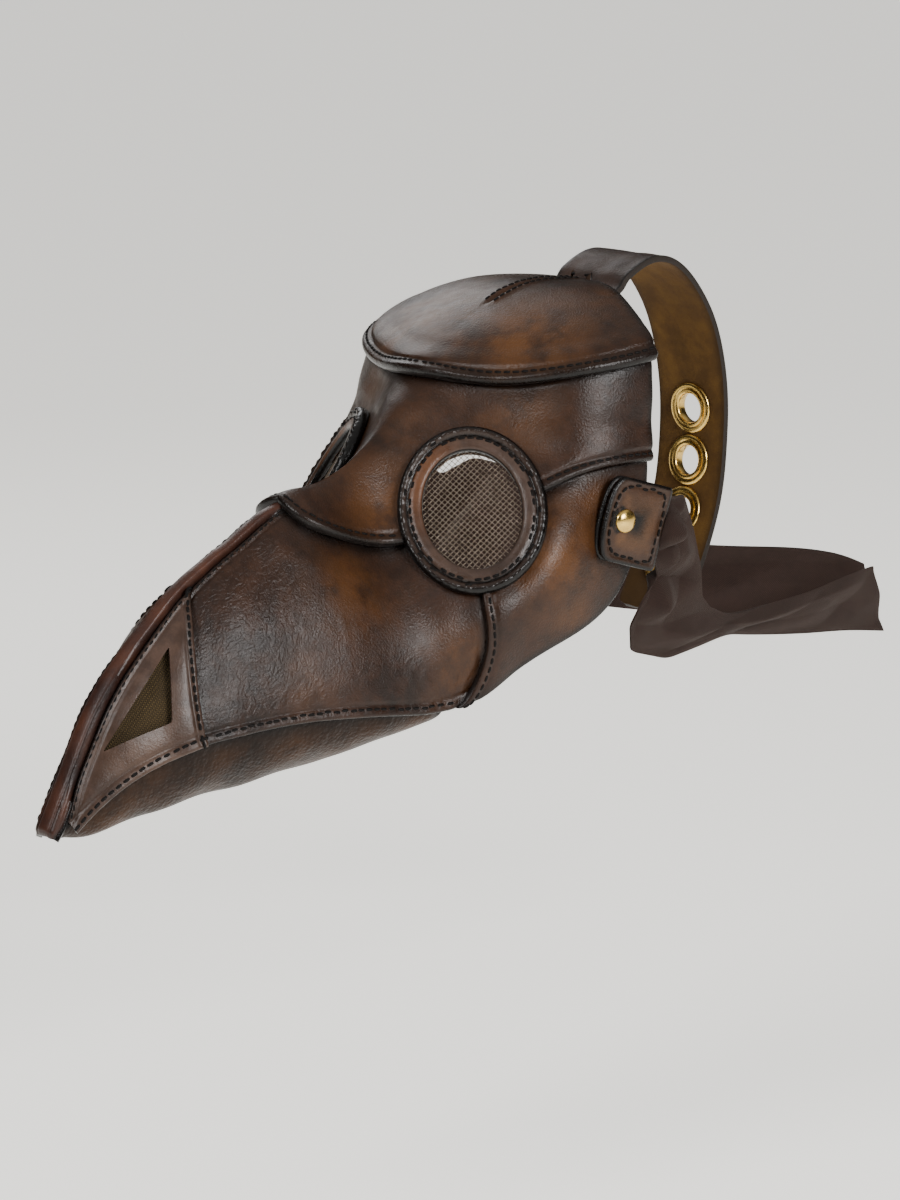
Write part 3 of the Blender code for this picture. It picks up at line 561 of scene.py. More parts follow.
# --- Finishes ---
class Shading:
    """A material's nodes as they are put together."""

    def __init__(self, name: str) -> None:
        """Starts a named material with a bare Principled shader."""
        self.material = bpy.data.materials.new(name)
        self.material.use_nodes = True
        self.tree = self.material.node_tree
        self.shader = self.tree.nodes["Principled BSDF"]
        self.place = self.add("ShaderNodeTexCoord").outputs["Object"]

    def add(self, kind: str, **inputs: object) -> bpy.types.Node:
        """Adds a node and fills or links its named inputs."""
        node = self.tree.nodes.new(kind)
        for name, value in inputs.items():
            self.feed(node.inputs[name.replace("_", " ")], value)
        return node

    def feed(self, socket: Socket, value: object) -> None:
        """Links a socket, or sets it where the value isn't one."""
        if isinstance(value, Socket):
            self.tree.links.new(value, socket)
        elif isinstance(value, tuple) and len(value) == 3 and socket.type == "RGBA":
            socket.default_value = (*value, 1.0)
        else:
            socket.default_value = value

    def set(self, **values: object) -> None:
        """Sets or links the shader's inputs."""
        for name, value in values.items():
            self.feed(self.shader.inputs[name.replace("_", " ")], value)

    def attribute(self, name: str) -> Socket:
        """A point attribute of the piece."""
        node = self.add("ShaderNodeAttribute")
        node.attribute_name = name
        return node.outputs["Fac"]

    def noise(self, size: float, detail: float = 4.0, rough: float = 0.55,
              vector: Socket | None = None) -> Socket:
        """Noise whose blotches are about a size across."""
        node = self.add("ShaderNodeTexNoise", Vector=vector or self.place, Scale=1 / size, Detail=detail,
                        Roughness=rough)
        return node.outputs["Fac"]

    def cells(self, size: float, vector: Socket | None = None) -> Socket:
        """Distance from the middle of pebbles of a size."""
        node = self.add("ShaderNodeTexVoronoi", Vector=vector or self.place, Scale=1 / size)
        node.feature = "SMOOTH_F1"
        return node.outputs["Distance"]

    def math(self, operation: str, a: object, b: object = 0.0, clamp: bool = False) -> Socket:
        """Two numbers put together."""
        node = self.tree.nodes.new("ShaderNodeMath")
        node.operation = operation
        node.use_clamp = clamp
        self.feed(node.inputs[0], a)
        self.feed(node.inputs[1], b)
        return node.outputs[0]

    def spread(self, value: object, low: float, high: float, to_low: float = 0.0, to_high: float = 1.0
               ) -> Socket:
        """A value's range stretched to another one, held at its ends."""
        node = self.add("ShaderNodeMapRange")
        node.interpolation_type = "SMOOTHSTEP"
        for index, number in enumerate((value, low, high, to_low, to_high)):
            self.feed(node.inputs[index], number)
        return node.outputs[0]

    def mix(self, share: object, a: object, b: object, blend: str = "MIX") -> Socket:
        """Colour a going to colour b with the share."""
        node = self.tree.nodes.new("ShaderNodeMix")
        node.data_type = "RGBA"
        node.blend_type = blend
        sockets = {s.identifier: s for s in node.inputs}
        self.feed(sockets["Factor_Float"], share)
        self.feed(sockets["A_Color"], a)
        self.feed(sockets["B_Color"], b)
        return next(s for s in node.outputs if s.identifier == "Result_Color")

    def bump(self, height: Socket, depth: float, below: Socket | None = None,
             strength: float = 1.0) -> Socket:
        """A normal that rises with a height, by a depth in metres."""
        node = self.add("ShaderNodeBump", Height=height, Distance=depth, Strength=strength)
        if below is not None:
            self.feed(node.inputs["Normal"], below)
        return node.outputs[0]


@dataclass(frozen=True)
class Leather:
    """Hand-dyed leather, waxed and darkened by burnishing along its edges, with painted shade beside edges that run
    beneath a neighbour.

    Attributes:
        deep: The dye where it took most.
        mid: The dye over most of the hide.
        tan: Where the hide shows through.
        burnished: The near-black along edges and seams: burnishing, and painted shade beside edges that run beneath
            a neighbour.
        roughness: Of the waxed surface.
        coat: Weight of the wax.
        grain: Size of the pores.
        grain_depth: Their depth.
        pebble: Size of the pebbles, or 0 for a smooth hide.
        pebble_depth: Their height.
        crease: Depth of the fine creases where the piece's creased attribute is 1.
        shine: Strength of its plain reflection.
    """

    deep: Colour = (0.0085, 0.0040, 0.0025)
    mid: Colour = (0.030, 0.0122, 0.0060)
    tan: Colour = (0.094, 0.036, 0.0095)
    burnished: Colour = (0.0024, 0.0018, 0.0016)
    roughness: float = 0.37
    coat: float = 0.055
    grain: float = 0.00085
    grain_depth: float = 0.00012
    pebble: float = 0.0
    pebble_depth: float = 0.0
    crease: float = 0.00015
    shine: float = 0.22

    def material(self, name: str) -> Material:
        """The finish as a material of that name, which reads the point attributes of edge darkening, tan and
        creased; the edge darkening is burnishing and painted shade beside edges that run beneath a neighbour.
        """
        s = Shading(name)
        burnish, tan, creased = s.attribute("burnish"), s.attribute("tan"), s.attribute("creased")
        cloudy = s.spread(s.noise(0.045, 3, 0.5), 0.35, 0.66)
        blotchy = s.spread(s.noise(0.0085, 5, 0.62), 0.38, 0.64)
        speck = s.noise(0.0011, 3, 0.7)
        colour = s.mix(s.math("MULTIPLY", s.math("ADD", cloudy, blotchy), 0.5), self.deep, self.mid)
        shown = s.math("MULTIPLY", tan, s.spread(s.noise(0.016, 5, 0.6), 0.34, 0.60, 0.25, 1.0), clamp=True)
        colour = s.mix(shown, colour, self.tan)
        colour = s.mix(s.spread(speck, 0.38, 0.62, 0.16, 0.0), colour, self.deep)
        # Edge darkening towards the near-black: burnishing on edges that lap over or are free, painted shade beside
        # edges that run beneath a neighbour.
        edge = s.spread(s.math("ADD", burnish, s.math("MULTIPLY", blotchy, 0.12)), 0.14, 0.95)
        colour = s.mix(edge, colour, self.burnished)
        rough = s.spread(s.noise(0.006, 4, 0.6), 0.3, 0.7, self.roughness - 0.05, self.roughness + 0.07)
        rough = s.math("SUBTRACT", rough, s.math("MULTIPLY", edge, 0.10))
        grain = s.math("ADD", s.cells(self.grain), s.math("MULTIPLY", s.noise(self.grain * 0.6, 4, 0.7), 0.8))
        normal = s.bump(grain, self.grain_depth)
        flow = s.add("ShaderNodeAttribute")
        flow.attribute_name = "flow"
        lines = s.math("ABSOLUTE", s.math("SUBTRACT", s.noise(0.0017, 4, 0.5, flow.outputs["Vector"]), 0.5))
        wrinkled = s.math("MULTIPLY", s.spread(lines, 0.0, 0.11), creased)
        normal = s.bump(wrinkled, self.crease, normal)
        if self.pebble:
            normal = s.bump(s.cells(self.pebble), self.pebble_depth, normal)
        s.set(Base_Color=colour, Roughness=rough, Normal=normal, Coat_Weight=self.coat, Coat_Roughness=0.22,
              Coat_Normal=normal, Specular_IOR_Level=self.shine)
        return s.material


@dataclass(frozen=True)
class Suede:
    """The flesh side of the hide, brushed."""

    colour: Colour = (0.050, 0.024, 0.011)
    dark: Colour = (0.026, 0.012, 0.006)

    def material(self, name: str) -> Material:
        """The finish as a material of that name."""
        s = Shading(name)
        nap = s.noise(0.0007, 5, 0.75)
        colour = s.mix(s.spread(s.noise(0.012, 5, 0.65), 0.3, 0.7), self.dark, self.colour)
        colour = s.mix(s.spread(nap, 0.35, 0.65, 0.45, 0.0), colour, self.dark)
        # Darker where the edge darkening is: burnishing, and painted shade such as at the strap's lower end.
        colour = s.mix(s.attribute("burnish"), colour, tuple(0.35 * c for c in self.dark))
        s.set(Base_Color=colour, Roughness=0.86, Normal=s.bump(nap, 0.00022), Sheen_Weight=0.10,
              Sheen_Roughness=0.5, Sheen_Tint=(0.55, 0.36, 0.22, 1.0), Specular_IOR_Level=0.2)
        return s.material


@dataclass(frozen=True)
class CutEdge:
    """The cut edge of the leather, dyed black and slicked with wax."""

    colour: Colour = (0.0055, 0.0042, 0.0038)
    roughness: float = 0.34
    coat: float = 0.12

    def material(self, name: str) -> Material:
        """The finish as a material of that name."""
        s = Shading(name)
        fibre = s.noise(0.0006, 4, 0.6)
        colour = s.mix(s.spread(fibre, 0.35, 0.75), self.colour, (0.013, 0.0095, 0.008))
        rough = s.spread(fibre, 0.3, 0.7, self.roughness - 0.06, self.roughness + 0.08)
        s.set(Base_Color=colour, Roughness=rough, Normal=s.bump(fibre, 0.00012), Coat_Weight=self.coat,
              Coat_Roughness=0.18, Specular_IOR_Level=0.25)
        return s.material


@dataclass(frozen=True)
class Woven:
    """Plain-woven cloth, on a piece's own UV map in metres or on Object coordinates."""

    light: Colour
    dark: Colour
    thread: float
    depth: float
    on_uv: bool = True
    roughness: float = 0.92

    def material(self, name: str) -> Material:
        """The finish as a material of that name."""
        s = Shading(name)
        place = s.add("ShaderNodeUVMap").outputs[0] if self.on_uv else s.place
        parts = s.add("ShaderNodeSeparateXYZ", Vector=place).outputs
        pair = (parts[0], parts[1]) if self.on_uv else (parts[1], parts[2])
        turn = math.pi / self.thread
        warp, weft = (s.math("SINE", s.math("MULTIPLY", axis, turn)) for axis in pair)
        over = s.math("MULTIPLY", warp, weft)
        threads = s.math("ADD", s.math("ABSOLUTE", warp), s.math("ABSOLUTE", weft))
        height = s.math("ADD", s.math("MULTIPLY", over, 0.5), s.math("MULTIPLY", threads, 0.5))
        # The threads' crowns are lighter and the hollows between them darker: painted shade in the weave.
        colour = s.mix(s.spread(height, 0.1, 1.2), self.dark, self.light)
        worn = s.spread(s.noise(0.010, 5, 0.6), 0.35, 0.70)
        colour = s.mix(s.math("MULTIPLY", worn, 0.35), colour, self.dark)
        # Lighter along the cloth's folds: painted highlight.
        crease = s.attribute("creased")
        colour = s.mix(s.math("MULTIPLY", crease, 0.18), colour, tuple(min(c * 1.9, 1) for c in self.light))
        s.set(Base_Color=colour, Roughness=self.roughness, Normal=s.bump(height, self.depth), Sheen_Weight=0.07,
              Sheen_Roughness=0.45, Sheen_Tint=(0.6, 0.48, 0.40, 1.0), Specular_IOR_Level=0.25)
        return s.material


@dataclass(frozen=True)
class Metal:
    """A metal finish with fine wear."""

    colour: Colour
    tarnish: Colour
    roughness: float
    wear: float = 0.35

    def material(self, name: str) -> Material:
        """The finish as a material of that name."""
        s = Shading(name)
        cloud = s.noise(0.0035, 5, 0.65)
        colour = s.mix(s.spread(cloud, 0.45, 0.75, 0.0, self.wear), self.colour, self.tarnish)
        rough = s.spread(cloud, 0.3, 0.7, self.roughness - 0.05, self.roughness + 0.10)
        s.set(Base_Color=colour, Roughness=rough, Metallic=1.0, Normal=s.bump(s.noise(0.0006, 3, 0.6), 0.00001))
        return s.material


@dataclass(frozen=True)
class Thread:
    """Waxed black sewing thread."""

    colour: Colour = (0.0028, 0.0024, 0.0022)

    def material(self, name: str) -> Material:
        """The finish as a material of that name."""
        s = Shading(name)
        strand = s.noise(0.0004, 3, 0.6)
        s.set(Base_Color=s.mix(strand, self.colour, (0.0075, 0.006, 0.0055)), Roughness=0.6,
              Normal=s.bump(strand, 0.00012), Specular_IOR_Level=0.10)
        return s.material


class Finishes:
    """Every material of the mask, made once."""

    def __init__(self) -> None:
        """Makes the materials."""
        self.mask = Leather().material("mask_leather")
        self.cap = Leather(mid=(0.034, 0.0135, 0.0062), roughness=0.33).material("cap_leather")
        self.nostril = Leather(deep=(0.024, 0.0135, 0.0095), mid=(0.066, 0.038, 0.027),
                               tan=(0.11, 0.062, 0.040), roughness=0.34, grain_depth=0.00006).material("nostril_leather")
        self.ridge = Leather(deep=(0.0115, 0.0050, 0.0040), mid=(0.040, 0.0155, 0.0105),
                             tan=(0.062, 0.022, 0.012), roughness=0.36,
                             grain_depth=0.00007).material("ridge_leather")
        self.underside = Leather(deep=(0.0075, 0.0036, 0.0020), mid=(0.027, 0.0120, 0.0056), roughness=0.40,
                                 coat=0.0, shine=0.14,
                                 pebble=0.0016, pebble_depth=0.00045).material("underside_leather")
        self.ring = Leather(deep=(0.021, 0.0125, 0.0092), mid=(0.058, 0.036, 0.027), tan=(0.13, 0.045, 0.013),
                            roughness=0.31, coat=0.10, grain_depth=0.00008).material("ring_leather")
        self.tab = Leather(deep=(0.024, 0.0115, 0.0066), mid=(0.060, 0.028, 0.0140), tan=(0.165, 0.078, 0.032),
                           roughness=0.38).material("tab_leather")
        self.strap = Leather(deep=(0.017, 0.0090, 0.0065), mid=(0.038, 0.020, 0.014),
                             roughness=0.46).material("strap_leather")
        self.suede = Suede().material("suede_inside")
        self.strap_suede = Suede((0.125, 0.062, 0.012), (0.066, 0.031, 0.007)).material("strap_suede")
        self.edge = CutEdge().material("cut_edge")
        self.strap_edge = CutEdge((0.014, 0.009, 0.006), 0.6, 0.0).material("strap_edge")
        self.thread = Thread().material("waxed_thread")
        self.wire = Metal((0.30, 0.24, 0.185), (0.06, 0.042, 0.030), 0.36, 0.7).material("bronze_wire")
        self.brass = Metal((0.70, 0.47, 0.14), (0.34, 0.19, 0.055), 0.22, 0.35).material("brass")
        self.cotton = Woven((0.034, 0.0165, 0.0118), (0.0115, 0.0056, 0.0041), 0.00042,
                            0.00018).material("tie_cotton")
        self.lining = Woven((0.072, 0.047, 0.017), (0.016, 0.010, 0.004), 0.00075, 0.0004,
                            False).material("lining_cloth")


# --- Panels ---
@dataclass
class Edge:
    """One edge of a panel.

    Attributes:
        seam: The line it follows.
        kind: What it does there.
        lift: How high it lies over the form at the edge.
        bead: Height of its rolled rim.
        bead_at: The rim's distance from the edge.
        stitch_at: The stitches' distance from the edge, or 0 for none.
        dark: How far the darkening reaches: burnishing on an edge that laps over or is free, painted shade beside
            one that runs beneath its neighbour.
        shade: How strong that darkening is.
        flare: How far the very edge stands out.
        pin: Within this distance of the edge the panel isn't lifted by its other edges, or 0.
    """

    seam: Seam
    kind: EdgeKind
    lift: float = 0.0
    bead: float = 0.0
    bead_at: float = 0.0016
    stitch_at: float = 0.0
    dark: float = 0.004
    shade: float = 0.8
    flare: float = 0.0
    pin: float = 0.0

    SINK = 0.0012
    FULL_LIFT = 0.0055
    NO_LIFT = 0.019
    ROUNDING = 0.0012
    GROOVE = 0.00055
    VALLEY = 0.0005

    def lifted(self, distance: Array) -> Array:
        """How far the panel rises off the form to lie on its neighbour."""
        if self.kind is not EdgeKind.OVER:
            return np.zeros_like(distance)
        return self.lift * (1 - smooth_step((distance - self.FULL_LIFT) / (self.NO_LIFT - self.FULL_LIFT)))

    def relief(self, distance: Array) -> Array:
        """The rolled rim, stitch groove and rounded corner of its outer side."""
        if self.kind is EdgeKind.UNDER:
            sunk = 1 - smooth_step((distance - self.FULL_LIFT) / (self.NO_LIFT - self.FULL_LIFT))
            return -self.SINK * sunk - self.VALLEY * bell(distance, 0, 0.0030)
        near = np.clip(1 - distance / self.ROUNDING, 0, 1)
        made = -self.ROUNDING * (1 - np.sqrt(1 - near ** 2))
        made = made + self.bead * bell(distance, self.bead_at, self.bead_at * 0.75)
        made = made + self.flare * bell(distance, 0, 0.0035)
        if self.stitch_at:
            made = made - self.GROOVE * bell(distance, self.stitch_at, 0.0009)
        return made

    def burnish(self, distance: Array) -> Array:
        """How dark the leather is beside the edge: burnishing on an edge that laps over or is free, with a darker
        line along its stitches, and painted shade beside one that runs beneath its neighbour.
        """
        made = self.shade * np.exp(-(distance / self.dark) ** 1.5)
        if self.stitch_at:
            made = np.maximum(made, 0.20 * bell(distance, self.stitch_at, 0.0010))
        return made


@dataclass
class Glow:
    """A place where the tan of the hide shows: rib, share, reach and strength."""

    rib: float
    share: float
    reach: float
    strength: float = 1.0


@dataclass
class Panel:
    """A leather panel on the form.

    Attributes:
        name: The piece's name, without its side.
        low: Its line nearer the beak's tip.
        high: Its line further back.
        first: The share where it starts.
        last: The share where it ends.
        edges: Its edges.
        size: Columns and rows.
        whole: Whether it crosses the midline.
        glows: Where the hide shows.
        relief: Extra height off the form from (points, rib, share).
        creases: The creased attribute from points.
        thickness: Of its leather.
    """

    name: str
    low: Line
    high: Line
    first: Line
    last: float
    edges: list[Edge]
    size: tuple[int, int]
    whole: bool = False
    glows: Sequence[Glow] = ()
    relief: Relief | None = None
    creases: Line | None = None
    thickness: float = LEATHER

    CROWDING = 0.55

    def crowded(self, t: Array) -> Array:
        """Even steps drawn towards both ends, where the edges need more faces."""
        return (1 - self.CROWDING) * t + self.CROWDING * (1 - np.cos(math.pi * t)) / 2

    def spots(self, u: Array, v: Array) -> tuple[Array, Array]:
        """(rib, share) of places given across and along the panel from 0 to 1."""
        rib = np.full_like(u, 6.0)
        share = u
        for _ in range(9):
            start = self.first(rib)
            share = start + (self.last - start) * u
            bottom, top = self.low(share), self.high(share)
            rib = bottom + (top - bottom) * v
        return rib, share

    def heights(self, points: Array, rib: Array, share: Array) -> tuple[Array, Array]:
        """Heights of the outer and the inner side off the form."""
        lift = np.zeros(len(points))
        relief = np.zeros(len(points))
        held = np.ones(len(points))
        for edge in self.edges:
            distance = edge.seam.distance(points)
            lift = np.maximum(lift, edge.lifted(distance))
            relief += edge.relief(distance)
            if edge.pin:
                held = np.minimum(held, smooth_step((distance - 0.1 * edge.pin) / edge.pin))
        lift *= held
        if self.relief is not None:
            relief += self.relief(points, rib, share)
        return lift + relief, lift - self.thickness + 0.5 * np.minimum(relief, 0.0)

    def build(self, skins: Sequence[Material]) -> Piece:
        """Makes the panel.

        Args:
            skins: The materials of its outside, inside and cut edges.

        Returns:
            A closed shell on the wearer's left, or across the midline.
        """
        obj = grid(self.name, *self.size)
        flat = coordinates(obj)
        sign = np.ones(len(flat))
        across = (flat[:, 0] + 1) / 2
        if self.whole:
            sign = np.where(flat[:, 0] < 0, -1.0, 1.0)
            across = np.abs(self.crowded(across) * 2 - 1)
        else:
            across = self.crowded(across)
        rib, share = self.spots(across, self.crowded((flat[:, 1] + 1) / 2))
        base, normal = FORM.point(rib, share), FORM.normal(rib, share)
        outer, inner = self.heights(base, rib, share)
        sides = [base + normal * height[:, None] for height in (outer, inner)]
        for side in sides:
            side[:, 0] = np.maximum(side[:, 0], 0) * sign
        shelled(obj, *sides, skins)
        return obj

    def dress(self, obj: Piece) -> None:
        """Writes the attributes that the finish reads, once the shape is final."""
        points = coordinates(obj)
        left = points * np.where(points[:, :1] < 0, [[-1, 1, 1]], [[1, 1, 1]])
        # Edge darkening: burnishing, and painted shade beside edges that run beneath a neighbour.
        burnish = np.zeros(len(points))
        for edge in self.edges:
            burnish = np.maximum(burnish, edge.burnish(edge.seam.distance(left)))
        tan = np.zeros(len(points))
        for glow in self.glows:
            middle = FORM.point(np.array([glow.rib]), np.array([glow.share]))[0]
            tan = np.maximum(tan, glow.strength * bell(np.linalg.norm(left - middle, axis=1), 0, glow.reach))
        creased = 0.05 if self.creases is None else self.creases(left)
        write(obj, burnish=burnish, tan=tan, creased=creased)
        write_flow(obj, left)
        smooth_shaded(obj, 50)


def write(obj: Piece, **values: Array) -> None:
    """Stores point attributes on a mesh."""
    for name, value in values.items():
        made = obj.data.attributes.get(name) or obj.data.attributes.new(name, "FLOAT", "POINT")
        made.data.foreach_set("value", np.broadcast_to(value, len(obj.data.vertices)).astype(np.float32))


def write_flow(obj: Piece, points: Array) -> None:
    """Stores the coordinates that creases follow: round the bridge, and stretched away from it."""
    dy, dz = points[:, 1] - BRIDGE[0], points[:, 2] - BRIDGE[1]
    reach = np.hypot(dy, dz)
    turned = (np.arctan2(dz, dy) + 0.03 * waves(points, 0.03, 3)) * 0.055
    rows = np.stack([turned, reach * 0.30, points[:, 0] * 0.3], axis=1)
    made = obj.data.attributes.new("flow", "FLOAT_VECTOR", "POINT")
    made.data.foreach_set("vector", rows.astype(np.float32).ravel())


def cut_through(obj: Piece, cutter: Piece) -> None:
    """Cuts one closed shape out of another and applies it."""
    hole = obj.modifiers.new("cut", "BOOLEAN")
    hole.operation = "DIFFERENCE"
    hole.solver = "EXACT"
    hole.object = cutter
    apply_all(obj)


def surface_of(*objs: Piece) -> BVHTree:
    """A search tree over the faces of some pieces."""
    points: list[Array] = []
    faces: list[tuple[int, ...]] = []
    start = 0
    for obj in objs:
        points.append(coordinates(obj))
        faces += [tuple(start + v for v in polygon.vertices) for polygon in obj.data.polygons]
        start += len(obj.data.vertices)
    return BVHTree.FromPolygons(np.concatenate(points).tolist(), faces)


# --- Stitches ---
@dataclass
class Stitching:
    """Rows of thread laid on the leather.

    Attributes:
        pitch: From one stitch to the next.
        length: What shows of a stitch.
        radius: Of the thread.
        sink: How deep its middle lies under the surface.
    """

    thread: Material
    pitch: float = 0.0040
    length: float = 0.0031
    radius: float = 0.00066
    sink: float = 0.0

    def stitch(self) -> tuple[Array, list[tuple[int, ...]]]:
        """One stitch about the origin, along X: a short thread with rounded ends.

        Returns:
            Its points and its faces.
        """
        deselect()
        bpy.ops.mesh.primitive_uv_sphere_add(segments=8, ring_count=6, radius=self.radius,
                                             rotation=(0, math.pi / 2, 0))
        obj = settle(bpy.context.object)
        points = coordinates(obj)
        reach = self.length / 2 - self.radius
        points[:, 0] += np.sign(np.round(points[:, 0], 7)) * reach
        points[:, 2] -= 0.25 * self.radius * (points[:, 0] / (self.length / 2)) ** 2
        faces = [tuple(p.vertices) for p in obj.data.polygons]
        bpy.data.objects.remove(obj)
        return points, faces

    def row(self, name: str, path: Array, surface: BVHTree, body: str, both: bool = False) -> None:
        """Sews a row along a path, as one piece.

        Args:
            name: The piece's name.
            path: Points near the surface.
            surface: What the stitches lie on.
            body: The body that it rides on.
            both: Whether the row is repeated on the other side of the midline.
        """
        points, faces = self.stitch()
        places: list[Matrix] = []
        spots = resampled(path, self.pitch)
        rng = np.random.default_rng(len(spots))
        for a, b in zip(spots, spots[1:]):
            middle, normal, _, _ = surface.find_nearest(Vector((a + b) / 2))
            if normal.dot(Vector(self.out(middle))) < 0:
                normal = -normal
            x = Vector(b - a)
            x = (x - x.dot(normal) * normal).normalized()
            x.rotate(Matrix.Rotation(rng.normal(0, 0.05), 3, normal))
            matrix = Matrix((x, normal.cross(x), normal)).transposed().to_4x4()
            matrix.translation = middle - normal * self.sink
            places.append(matrix)
        blocks = [placed(points, place) for place in places]
        turned = [faces] * len(blocks)
        if both:
            flip = np.array([-1, 1, 1])
            turned = turned + [[face[::-1] for face in faces]] * len(blocks)
            blocks = blocks + [block * flip for block in blocks]
        made = bpy.data.meshes.new(name)
        whole = [tuple(i * len(points) + v for v in face) for i, group in enumerate(turned) for face in group]
        made.from_pydata(np.concatenate(blocks).tolist(), [], whole)
        made.materials.append(self.thread)
        made.shade_smooth()
        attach(linked(name, made), body)
        LOG.info("%s: %d stitches", name, len(blocks))

    @staticmethod
    def out(point: Vector) -> Array:
        """Roughly outwards from the mask's middle at a point."""
        middle = (0.0, min(max(point.y, -0.25), 0.03) + 0.02, min(point.z, 0.0) * 0.55)
        return np.array(point) - np.array(middle)


